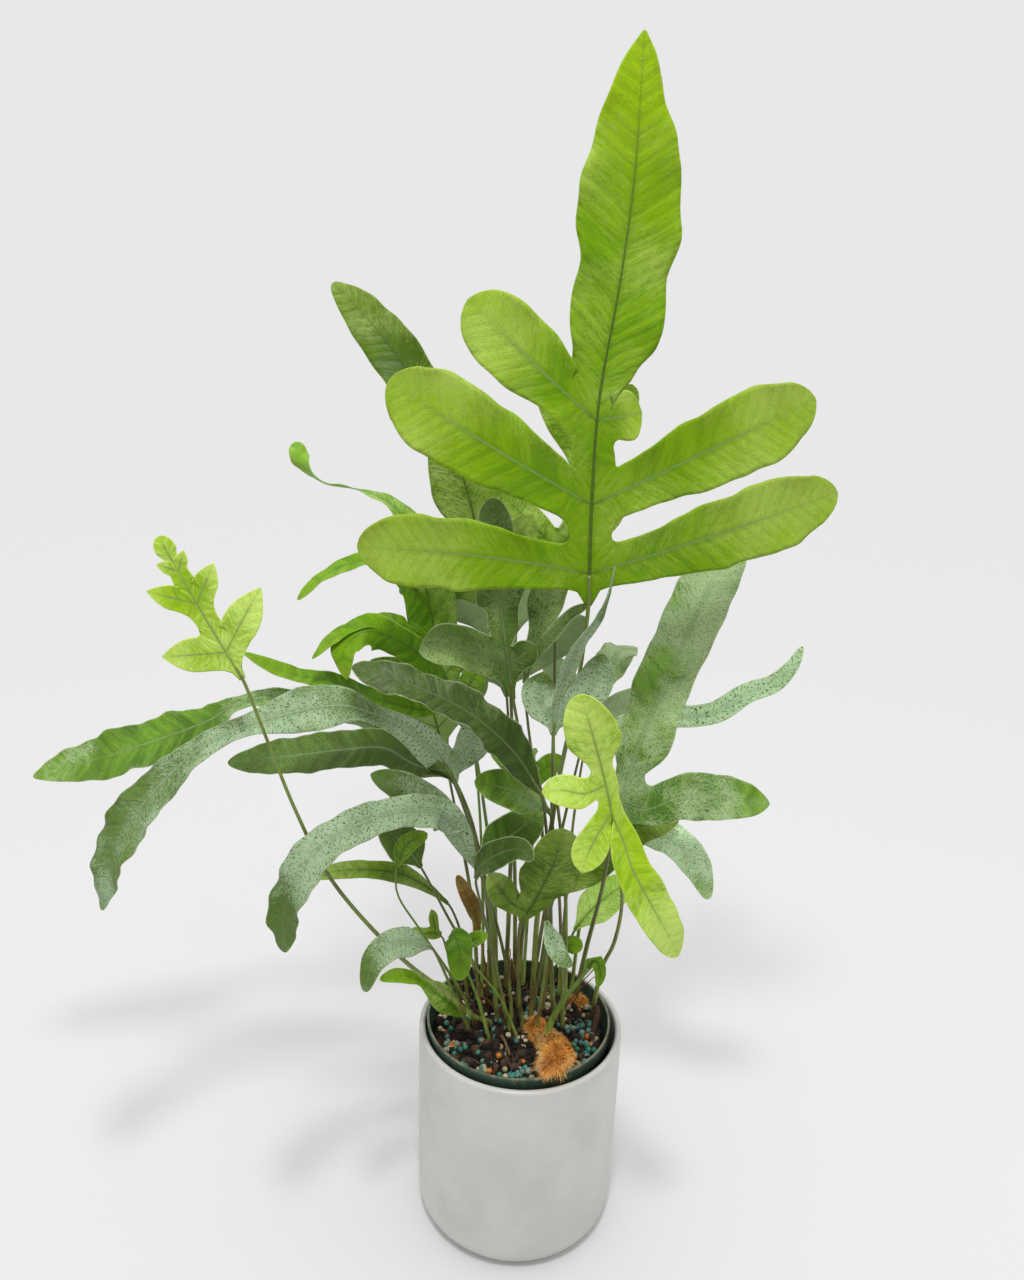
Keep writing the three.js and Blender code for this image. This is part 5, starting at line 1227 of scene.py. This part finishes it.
              (-80, -25, 171)],
         face=(.1, -.8, .6), faceTip=(0, -.5, .85), thick=.7, width=14, wing=2, wave=.6,
         outline=[(.12, 4, 4), (.26, 7, 7), (.4, 7, 7), (.52, 4.5, 4.5), (.62, 2.2, 2.2), (.76, 4, 4),
                  (.9, 4, 4), (1, 1.5, 1.5)]),
    dict(name="frond_hanging", look="glaucous", paintedLightAndHaze=(.95, 0), foot=(9, -9),
         stalk=[(10, -22, 160), (10, -42, 205)],
         rib=[(8, -50, 226), (11, -54, 219), (15, -58, 211), (21, -63, 208)],
         face=(.1, -.9, .4), thick=.65, width=10, wing=3, wave=.8),
    dict(name="frond_twisted_right", look="glaucous", paintedLightAndHaze=(1.7, .06), foot=(25, 28),
         stalk=[(27, 34, 190), (30, 38, 250)],
         rib=[(36, 38, 292), (54, 32, 306), (80, 26, 311), (92, 24, 312), (105, 20, 317), (120, 18, 329),
              (134, 16, 336), (142, 14, 347), (145, 12, 357)],
         face=(0, -.6, .8), faceTip=(-.5, -.85, .2), thick=.8, width=13, wing=3, wave=1.6),
    dict(name="frond_drooping_right", look="glaucous", paintedLightAndHaze=(1.55, .03), foot=(33, 31),
         stalk=[(38, 36, 180), (46, 34, 215)],
         rib=[(53, 26, 235), (68, 18, 242), (80, 13, 242), (90, 8, 237), (98, 2, 227), (104, -4, 213)],
         face=(-.1, -.6, .8), faceTip=(.4, -.8, .4), thick=.85, width=21, wing=4, wave=1.2),
    dict(name="frond_rear_high", look="greyGreen", foot=(-2, 46),
         stalk=[(-4, 54, 190), (-8, 68, 255)],
         rib=[(-12, 82, 300), (-16, 96, 338), (-20, 114, 368), (-26, 140, 388), (-32, 170, 390)],
         face=(0, .8, .6), faceTip=(0, .2, 1), thick=1, width=28, wing=7, wave=2,
         pairs=[dict(to=.2, left=bent(60, 62, 23, 18), right=bent(62, 58, 22, 18)),
                dict(to=.42, left=bent(54, 54, 20, 18), right=bent(56, 56, 20, 18))]),
    dict(name="frond_rear_right", look="mottled", foot=(10, 44),
         stalk=[(18, 56, 180), (30, 76, 235)],
         rib=[(38, 90, 266), (50, 110, 296), (62, 134, 312), (74, 164, 310)],
         face=(.3, .6, .75), thick=.95, width=26, wing=7, wave=2,
         pairs=[dict(to=.36, left=bent(52, 48, 20, 16), right=bent(56, 50, 20, 20))]),
    dict(name="frond_rear_left", look="deepGreen", foot=(-26, 38),
         stalk=[(-30, 50, 170), (-42, 70, 225)],
         rib=[(-50, 82, 258), (-62, 104, 290), (-76, 130, 304), (-94, 158, 298)],
         face=(-.3, .6, .75), thick=.95, width=25, wing=7, wave=2,
         pairs=[dict(to=.36, left=bent(54, 48, 20, 20), right=bent(54, 44, 20, 16))]),
    dict(name="frond_rear_low", look="freshGreen", paintedLightAndHaze=(1.3, 0), foot=(3, 38),
         stalk=[(5, 54, 160), (8, 80, 200)],
         rib=[(8, 94, 222), (6, 116, 240), (2, 140, 240), (-2, 162, 224)],
         face=(0, .5, .85), thick=.85, width=22, wing=5, wave=1.6,
         pairs=[dict(to=.4, left=bent(50, 34, 15, 10), right=bent(50, 30, 15, 10))]),
    dict(name="dead_leaf", look="driedUp", foot=(-20, 16),
         stalk=[(-21, 10, 150)],
         rib=[(-26, 4, 184), (-29, 0, 200), (-34, -2, 212), (-39, -4, 224)],
         face=(.2, -.9, .3), thick=.6, width=9, wing=2, wave=1.2),
    dict(name="frond_unrolling", look="freshGreen", foot=(15, -19), footLevel=131,
         stalk=[(17, -20, 142), (24, -23, 160)],
         rib=[(33, -26, 177), (38, -27, 187), (41, -30, 182), (40, -33, 174)],
         face=(.4, -.8, .5), thick=1.35, width=8, wing=2, wave=.4),
]


def ribFrame(frond, rib, share):
    place, along = wayAt(rib, share)
    face = np.asarray(frond["face"], float)
    tip = np.asarray(frond.get("faceTip", frond["face"]), float)
    up = face + (tip - face) * np.clip(np.atleast_1d(share), 0, 1)[:, None]
    up = unit(up - along * np.sum(up * along, axis=1, keepdims=True))
    return place, along, up, np.cross(along, up)


def tracedFrames(start, side, lobe):
    way = wayThrough([start[0], *lobe["way"]])
    tip = np.asarray(lobe["face"], float)
    tip /= np.linalg.norm(tip)

    def frameAt(share):
        place, out = wayAt(way, share)
        face = start[2] + (tip - start[2]) * smooth(np.atleast_1d(share) * 1.6)[:, None]
        face = unit(face - out * np.sum(face * out, axis=1, keepdims=True))
        return place, out, face, np.cross(face, out) * side
    return frameAt, way[1][-1]


def bentFrames(start, side, lobe):
    steps, length = bladeLook["steps"], lobe["length"]
    angle = math.radians(lobe["angle"])
    place, along, face, across = (v.copy() for v in start)
    out = along * math.cos(angle) + across * side * math.sin(angle)
    distal = np.cross(face, out) * side
    frames = [np.stack([place, out, face, distal])]

    def turn(a, b, degrees):
        step = math.radians(degrees) / steps
        return a * math.cos(step) + b * math.sin(step), b * math.cos(step) - a * math.sin(step)
    for _ in range(steps):
        place = place + out * length / steps
        out, face = turn(out, face, -lobe["droop"])
        out, distal = turn(out, distal, lobe["sweep"])
        face, distal = turn(face, distal, lobe["twist"])
        frames.append(np.stack([place, out, face, distal]))
    frames = np.stack(frames)

    def frameAt(share):
        share = np.atleast_1d(share)
        at = np.clip(share, 0, 1) * steps
        low = np.minimum(at.astype(int), steps - 1)
        part = (at - low)[:, None, None]
        mixed = frames[low] * (1 - part) + frames[low + 1] * part
        past = np.maximum(share - 1, 0)[:, None] * length
        return mixed[:, 0] + mixed[:, 1] * past, mixed[:, 1], mixed[:, 2], mixed[:, 3]
    return frameAt, length


farOff = 99.0  # in mm, for what lies out of reach of a rib or a margin


def layered(*parts):  # three numbers for each point of a patch
    return np.stack(np.broadcast_arrays(*parts), -1)


def tipForm(blunt):  # how far rows lean to the tip, where a lobe is widest, and the power of its rounding
    if blunt > bladeLook["blunt"]:
        return 0.12, 0.66, 0.5
    if blunt > 2:
        return 0.3, 0.6, 0.5
    return 0.3, 0.45, 0.8


def halfShare(share, neck, widest, tip, blunt):  # half width of a lobe as a share of its greatest
    before = neck + (1 - neck) * smooth(share / widest)
    rest = np.clip((share - widest) / (tip - widest), 0, 1)
    after = (1 - rest ** blunt) ** tipForm(blunt)[2]
    return np.where(share <= widest, before, np.maximum(after, 0.03))


def rowsAcross(middle, toSides, lifted, rippled):  # all but the middle are pairs, for the left and the right
    v = np.linspace(-1, 1, 2 * bladeLook["halves"] + 1)
    a = np.abs(v)[None, :, None]
    onLeft = (v < 0)[None, :, None]
    pairs = (toSides, lifted, rippled)
    out, up, fine = (np.where(onLeft, left[:, None], right[:, None]) for left, right in pairs)
    return middle[:, None] + out * a + up * a ** 2 + fine * a ** 5


def lifts(frond, half, distance, phase):  # how far the margins rise, and their ripples, left and right
    rises, ripples = [], []
    for shift in (bladeLook["waveShift"], 0.0):
        wave = np.sin(2 * math.pi * distance / bladeLook["waveLength"] + phase + shift)
        fine = np.sin(2 * math.pi * distance / bladeLook["rippleLength"] + 1.7 * phase + 3 * shift)
        reach = frond["wave"] * np.minimum(1, half / 12)
        rises.append((bladeLook["fold"] * half + reach * wave)[:, None])
        ripples.append((reach * bladeLook["ripple"] * frond.get("ripple", 1) * fine)[:, None])
    return rises, ripples


def bezier(a, b, c, d, t):
    t = t[:, None]
    return a * (1 - t) ** 3 + 3 * b * t * (1 - t) ** 2 + 3 * c * t * t * (1 - t) + d * t ** 3


def spoke(ribPoint, sinusPoint):  # from the main rib out to the bottom of a gap between lobes
    share = np.linspace(0, 1, bladeLook["halves"] + 1)[:, None]
    return ribPoint + (sinusPoint - ribPoint) * share


def footRows(ribRow, ends, middle, spokes):  # from the main rib to the row that joins two gaps
    cells = bladeLook["halves"]
    v = np.linspace(-1, 1, 2 * cells + 1)[:, None]
    endRow = middle + v * (ends[1] - ends[0]) / 2 + v * v * ((ends[0] + ends[1]) / 2 - middle)
    rows = np.stack([ribRow + (endRow - ribRow) * k / cells for k in range(cells + 1)])
    rows[:, 0], rows[:, -1] = spokes
    return rows


def lobePatch(frond, start, side, lobe, ribRow, ends, spokes, wing, phase):
    frameAt, length = (tracedFrames if "way" in lobe else bentFrames)(start, side, lobe)
    neck = min(bladeLook["neck"], bladeLook["longestNeck"] / length)
    if length < bladeLook["smallLobe"]:
        neck = bladeLook["smallNeck"]
    first = min(wing / length, neck / 2)
    tip = bladeLook["end"]
    cells, cell = bladeLook["halves"], bladeLook["cell"]

    # The foot: from the main rib to the gaps, then along round curves to the neck.
    foot = footRows(ribRow, ends, frameAt(first)[0][0], spokes)
    place, out, face, distal = frameAt(neck)
    blunt = frond.get("blunt", bladeLook["blunt"])
    lean, widest, _ = tipForm(blunt)
    waist = frond.get("waist", bladeLook["waist"])
    half = lobe["width"] / 2 * halfShare(np.array([neck]), waist, widest, tip, blunt)
    back = out * lean * half[:, None] * neck ** 3
    neckEnds = [(place + s * distal * half[:, None] - back)[0] for s in (-1, 1)]
    bendCount = max(4, round(length * (neck - first) / cell))
    t = np.linspace(0, 1, bendCount + 1)[1:]
    margins = []
    for end, neckEnd, way in zip(ends, neckEnds, (1, -1)):
        reach = np.linalg.norm(neckEnd - end) * 0.42
        margins.append(bezier(end, end + start[1] * way * reach, neckEnd - out[0] * reach, neckEnd, t))
    share = first + (neck - first) * t
    middle, _, bendFace, _ = frameAt(share)
    sideways = (margins[1] - margins[0]) / 2
    sag = (margins[0] + margins[1]) / 2 - middle
    bendHalf = np.linalg.norm(sideways, axis=1)
    grow = smooth(t)[:, None]
    rises, ripples = lifts(frond, np.minimum(bendHalf, half), share * length, phase)
    bend = rowsAcross(middle, (-sideways, sideways), [sag + bendFace * lift * grow for lift in rises],
                      [bendFace * ripple * grow for ripple in ripples])

    # The rest of the lobe, to its round tip.
    count = max(8, round(length * (tip - neck) / cell * 1.15))
    x = np.linspace(0, 1, count + 1)[1:]
    far = neck + (tip - neck) * (1 - (1 - x) ** 1.5)
    place, out, face, distal = frameAt(far)
    farHalf = lobe["width"] / 2 * halfShare(far, waist, widest, tip, blunt)
    uneven = 1 + 0.018 * np.sin(far * length / 2.9 + phase * 3) + 0.02 * np.sin(far * length / 6.1 + phase)
    farHalf = farHalf * np.where(far < 0.93, uneven, 1)
    lead = (-lean * farHalf * np.minimum(far, 1) ** 3)[:, None] * out
    rises, ripples = lifts(frond, farHalf, far * length, phase)
    wide = distal * farHalf[:, None]
    rest = rowsAcross(place, (-wide, wide), [face * lift + lead for lift in rises],
                      [face * ripple for ripple in ripples])

    rows = np.concatenate([foot, bend, rest])
    v = np.abs(np.linspace(-1, 1, 2 * cells + 1))[None, :]
    inner = np.linspace(0, 1, cells + 1)
    footHalf = np.linalg.norm(ends[1] - ends[0]) / 2
    halves = np.concatenate([np.full(cells + 1, footHalf), bendHalf, farHalf])[:, None]
    distance = np.concatenate([inner * first, share, far])[:, None] * length
    fromRib = np.concatenate([inner * wing, wing + (share - first) * length, np.full(count, farOff)])[:, None]
    edge = (1 - v) * halves + np.concatenate([(1 - inner) * wing, np.zeros(bendCount + count)])[:, None]
    tipShare = np.concatenate([inner * first, share, far])[:, None]
    spots = layered(v * halves, distance, edge)
    kinds = layered(tipShare, 0 * v, fromRib)
    veinShare = np.concatenate([[first * 0.1], share, far[far < 0.95]])
    centres, _, ribFace, _ = frameAt(veinShare)
    taper = bladeLook["lobeRibTaper"] * np.linspace(0, 1, len(veinShare))
    radii = frond["thick"] * (bladeLook["lobeRibRadius"] - taper)
    vein = (centres - ribFace * 0.05, radii, veinShare * length)
    return {"rows": rows, "spots": spots, "kinds": kinds, "vein": vein}


def plainSide(frond, start, side, ribRow, ends, spokes, wing, share):  # a side of the rib with no lobe
    margin = (ends[0] + ends[1]) / 2 + start[3] * side * 0.8
    rows = footRows(ribRow, ends, margin, spokes)
    inner = np.linspace(0, 1, bladeLook["halves"] + 1)[:, None] * wing
    across = np.zeros((1, 2 * bladeLook["halves"] + 1))
    spots = layered(inner, share[None, :], wing - inner)
    kinds = layered(across + 0.1, across, inner)
    return {"rows": rows, "spots": spots, "kinds": kinds}


def endStops(frond, length):  # shares of the rib where an end lobe turns in and where it closes
    if "outline" not in frond:
        return 1, bladeLook["end"]
    _, left, right = frond["outline"][-1]
    last = (left + right) / 2
    return 1 - bladeLook["turnIn"] * last / length, 1 + bladeLook["bulge"] * last / length


def endHalves(frond, share, begin, length, wing):  # half widths left and right of the end lobe
    turnIn, top = endStops(frond, length)
    if "outline" not in frond:
        local = (share - begin) / (1 - begin)
        neck = min(wing / (frond["width"] / 2), 1)
        localTop = 1 + (top - 1) / (1 - begin)
        half = frond["width"] / 2 * halfShare(local, neck, 0.42, localTop, bladeLook["blunt"])
        return half, half
    stops = np.array([(begin, wing, wing), *frond["outline"]], float)
    fine, _ = wayThrough(stops * (length, 1, 1))
    close = np.sqrt(np.maximum(1 - np.clip((share - turnIn) / (top - turnIn), 0, 1) ** 2, 0.0004))
    left, right = (np.interp(share * length, fine[:, 0], fine[:, k]) for k in (1, 2))
    uneven = 1 + 0.02 * np.sin(share * length / 3.1) + 0.02 * np.sin(share * length / 6.7 + 1)
    return np.maximum(left * close * uneven, 0.12), np.maximum(right * close * uneven[::-1], 0.12)


def endPatch(frond, rib, begin, wing, sinusPoints):
    length = rib[1][-1]
    _, top = endStops(frond, length)
    count = max(10, round((top - begin) * length / bladeLook["cell"]))
    x = np.linspace(0, 1, count + 1)
    share = begin + (top - begin) * (1 - (1 - x) ** 1.35)
    place, along, face, across = ribFrame(frond, rib, share)
    left, right = endHalves(frond, share, begin, length, wing)
    rises, ripples = lifts(frond, (left + right) / 2, share * length, 0.7)
    grow = smooth((share - begin) * length / 14)[:, None]
    fading = (begin > 0) * np.clip(1 - (share - begin) * length / 12, 0, 1)
    ahead = along * (bladeLook["sinusAhead"] * wing * fading)[:, None]
    toSides = (-across * left[:, None] + ahead, across * right[:, None] + ahead)
    rows = rowsAcross(place, toSides, [face * lift * grow for lift in rises],
                      [face * ripple * grow for ripple in ripples])
    cells = bladeLook["halves"]
    rows[0, cells::-1] = spoke(place[0], sinusPoints[0])
    rows[0, cells:] = spoke(place[0], sinusPoints[1])
    v = np.linspace(-1, 1, 2 * cells + 1)
    halves = np.where(v[None, :] < 0, left[:, None], right[:, None])
    reach = np.abs(v)[None, :] * halves
    local = ((share - begin) / (1 - begin))[:, None]
    return {"rows": rows, "spots": layered(reach, share[:, None] * length, halves - reach),
            "kinds": layered(local, 0 * reach, reach)}


def bladePatches(frond, rib):
    pairs = frond.get("pairs", [])
    bounds = [0, *[pair["to"] for pair in pairs]]
    wings = [bladeLook["footWing"], *[pair.get("wing", frond["wing"]) for pair in pairs]]
    ribPoints, sinus = [], []
    for k, (bound, wing) in enumerate(zip(bounds, wings)):
        place, along, _, across = (v[0] for v in ribFrame(frond, rib, bound))
        ahead = along * wing * bladeLook["sinusAhead"] if k else 0
        ribPoints.append(place)
        sinus.append([place - across * wing + ahead, place + across * wing + ahead])
    patches = []
    for i, pair in enumerate(pairs):
        share = np.linspace(bounds[i], bounds[i + 1], 2 * bladeLook["halves"] + 1)
        ribRow = ribFrame(frond, rib, share)[0]
        ribRow[0], ribRow[-1] = ribPoints[i], ribPoints[i + 1]
        start = [v[0] for v in ribFrame(frond, rib, (bounds[i] + bounds[i + 1]) / 2)]
        for which, (key, side) in enumerate((("left", -1), ("right", 1))):
            ends = (sinus[i][which], sinus[i + 1][which])
            spokes = (spoke(ribPoints[i], ends[0]), spoke(ribPoints[i + 1], ends[1]))
            if pair[key]:
                patch = lobePatch(frond, start, side, pair[key], ribRow, ends, spokes, wings[i + 1], i * 1.3)
                patch["haze"] = pair[key].get("haze", 0)
            else:
                patch = plainSide(frond, start, side, ribRow, ends, spokes, wings[i + 1], share * rib[1][-1])
            patch["up"] = start[2]
            patches.append(patch)
    last = endPatch(frond, rib, bounds[-1], wings[-1], sinus[-1])
    last["up"] = ribFrame(frond, rib, bounds[-1])[2][0]
    return [*patches, last]


def bladeShell(patches):  # both faces and the rim, with what each corner needs for its colour
    places = np.concatenate([patch["rows"].reshape(-1, 3) for patch in patches])
    _, keep, known = np.unique(np.round(places, 3), axis=0, return_index=True, return_inverse=True)
    known = known.reshape(-1)
    points = places[keep]
    quads, spots, kinds, first = [], [], [], 0
    for patch in patches:
        rows, columns = patch["rows"].shape[:2]
        grid = np.arange(rows * columns).reshape(rows, columns)
        corners = np.stack([grid[:-1, :-1], grid[:-1, 1:], grid[1:, 1:], grid[1:, :-1]], -1).reshape(-1, 4)
        p = patch["rows"].reshape(-1, 3)
        near = corners[:columns * 3]
        tilt = np.cross(p[near[:, 2]] - p[near[:, 0]], p[near[:, 3]] - p[near[:, 1]]).sum(0)
        if np.dot(tilt, patch["up"]) < 0:
            corners = corners[:, ::-1]
        quads.append(known[first + corners])
        spots.append(patch["spots"].reshape(-1, 3)[corners])
        haze = np.full((*corners.shape, 1), patch.get("haze", 0))
        kinds.append(np.concatenate([patch["kinds"].reshape(-1, 3)[corners], haze], -1))
        first += rows * columns
    quads, spots, kinds = (np.concatenate(part) for part in (quads, spots, kinds))
    a, b, c, d = (points[quads[:, k]] for k in range(4))
    tilt = np.cross(c - a, d - b)
    normals = np.zeros_like(points)
    for k in range(4):
        np.add.at(normals, quads[:, k], tilt)
    normals /= np.linalg.norm(normals, axis=1, keepdims=True) + 1e-12
    margin = np.full(len(points), farOff)
    for k in range(4):
        np.minimum.at(margin, quads[:, k], spots[:, k, 2])
    look = bladeLook
    inwards = np.clip(margin / look["bodyFrom"], 0, 1)
    thick = (look["edge"] + (look["body"] - look["edge"]) * inwards)[:, None]
    count = len(points)
    starts = quads.reshape(-1)
    stops = quads[:, [1, 2, 3, 0]].reshape(-1)
    openSides = ~np.isin(starts * count + stops, stops * count + starts)
    p, q = starts[openSides], stops[openSides]
    rim = np.stack([q, p, p + count, q + count], -1)
    rimSpot = spots.reshape(-1, 3)[openSides]
    rimSpot = np.repeat(rimSpot[:, None], 4, axis=1)
    rimKind = np.repeat(kinds.reshape(-1, 4)[openSides][:, None], 4, axis=1)
    under = kinds[:, ::-1].copy()
    under[..., 1] = 1
    shell = np.concatenate([points + normals * thick, points - normals * thick])
    faces = np.concatenate([quads, quads[:, ::-1] + count, rim])
    spots = np.concatenate([spots, spots[:, ::-1], rimSpot])
    return shell, faces, spots, np.concatenate([kinds, under, rimKind])


def stalkLine(frond, rib):
    x, y = frond["foot"]
    level = frond.get("footLevel", float(soilHeight(x, y)))
    way = wayThrough([(x, y, level + 2.5), *frond["stalk"], frond["rib"][0], wayAt(rib, 0.05)[0][0]])
    count = max(12, round(way[1][-1] / 5))
    share = np.linspace(0, 1, count)
    centres = np.vstack([[x, y, level - bladeLook["holeDepth"] + 1], wayAt(way, share)[0]])
    share = np.concatenate([[0], share])
    low, high = bladeLook["stalkRadii"]
    radii = frond["thick"] * (low + (high - low) * np.minimum(1, share * 1.15))
    ribShare = np.linspace(0.05, 0.985, max(10, round(rib[1][-1] / 4)))[1:]
    ribCentres = wayAt(rib, ribShare)[0]
    ribRadii = frond["thick"] * (bladeLook["ribRadius"] - bladeLook["ribTaper"] * ribShare)
    radii[-1] = frond["thick"] * 0.8
    return np.vstack([centres, ribCentres]), np.concatenate([radii, ribRadii]), len(centres)


def makeFrond(frond, leaves, stalks):
    rib = wayThrough(frond["rib"])
    patches = bladePatches(frond, rib)
    points, faces, spots, kinds = bladeShell(patches)
    points, faces, finish = points.tolist(), [tuple(face) for face in faces.tolist()], [0] * len(faces)
    spots, kinds = [spots.reshape(-1, 3)], [kinds.reshape(-1, 4)]
    inside = 20  # mm from a margin

    def addTube(centres, radii, sides, distance, share, ribGap, stalkRings):
        tube, tubeFaces = tubeMesh(centres, radii, sides)
        first = len(points)
        points.extend(tube.tolist())
        for face in tubeFaces:
            faces.append(tuple(first + i for i in face))
            ring, side = np.array(face) // sides, np.array(face) % sides
            isStalk = ring[0] < stalkRings
            still = np.zeros(len(face))
            spots.append(np.stack([side * isStalk, distance[ring], still + inside], -1))
            kinds.append(np.stack([share[ring], still, still + ribGap, still], -1))
            finish.append(int(isStalk))

    for patch in patches:
        if "vein" in patch:
            centres, radii, distance = patch["vein"]
            share = np.linspace(0, 1, len(radii))
            addTube(centres, radii, bladeLook["ribSides"], distance, share, 30, 0)
    centres, radii, count = stalkLine(frond, rib)
    distance = np.concatenate([[0], np.cumsum(np.linalg.norm(np.diff(centres, axis=0), axis=1))])
    share = np.concatenate([np.linspace(0, 1, count), np.linspace(0, 0.9, len(radii) - count)])
    addTube(centres, radii, bladeLook["stalkSides"], distance, share, 0, count)
    look = leafLooks[frond["look"]]
    thing = addObject(frond["name"].title().replace("_", ""), points, faces,
                      [leaves[frond["look"]], stalks[look["stalk"]]], finish)
    setCorners(thing, "leafSpot", np.concatenate(spots))
    kinds = np.concatenate(kinds)
    setCorners(thing, "leafKind", kinds[:, :3])
    # The first number is painted light and shade for the whole frond, the second its extra haze, the third a
    # seed for its patterns.
    paintedLightAndHaze = (*frond.get("paintedLightAndHaze", (1, 0)), frond["foot"][0] * 7.3 + frond["foot"][1] * 3.1)
    paintedLightAndHazes = np.tile(paintedLightAndHaze, (len(kinds), 1))
    paintedLightAndHazes[:, 1] += kinds[:, 3]
    setCorners(thing, "leafPaintedLightAndHaze", paintedLightAndHazes)
    putOn(thing, slotOf[frond["name"]], frond["name"])


slotOf = {part["node"]: part["material_slot"] for part in frame["record"]["subparts"]}
leafMaterials = {name: leafMaterial(name, look) for name, look in leafLooks.items()}
stalkMaterials = {name: stalkMaterial(name, look) for name, look in stalkLooks.items()}
for frond in frondTable:
    makeFrond(frond, leafMaterials, stalkMaterials)
print("fronds ready:", len(frondTable))
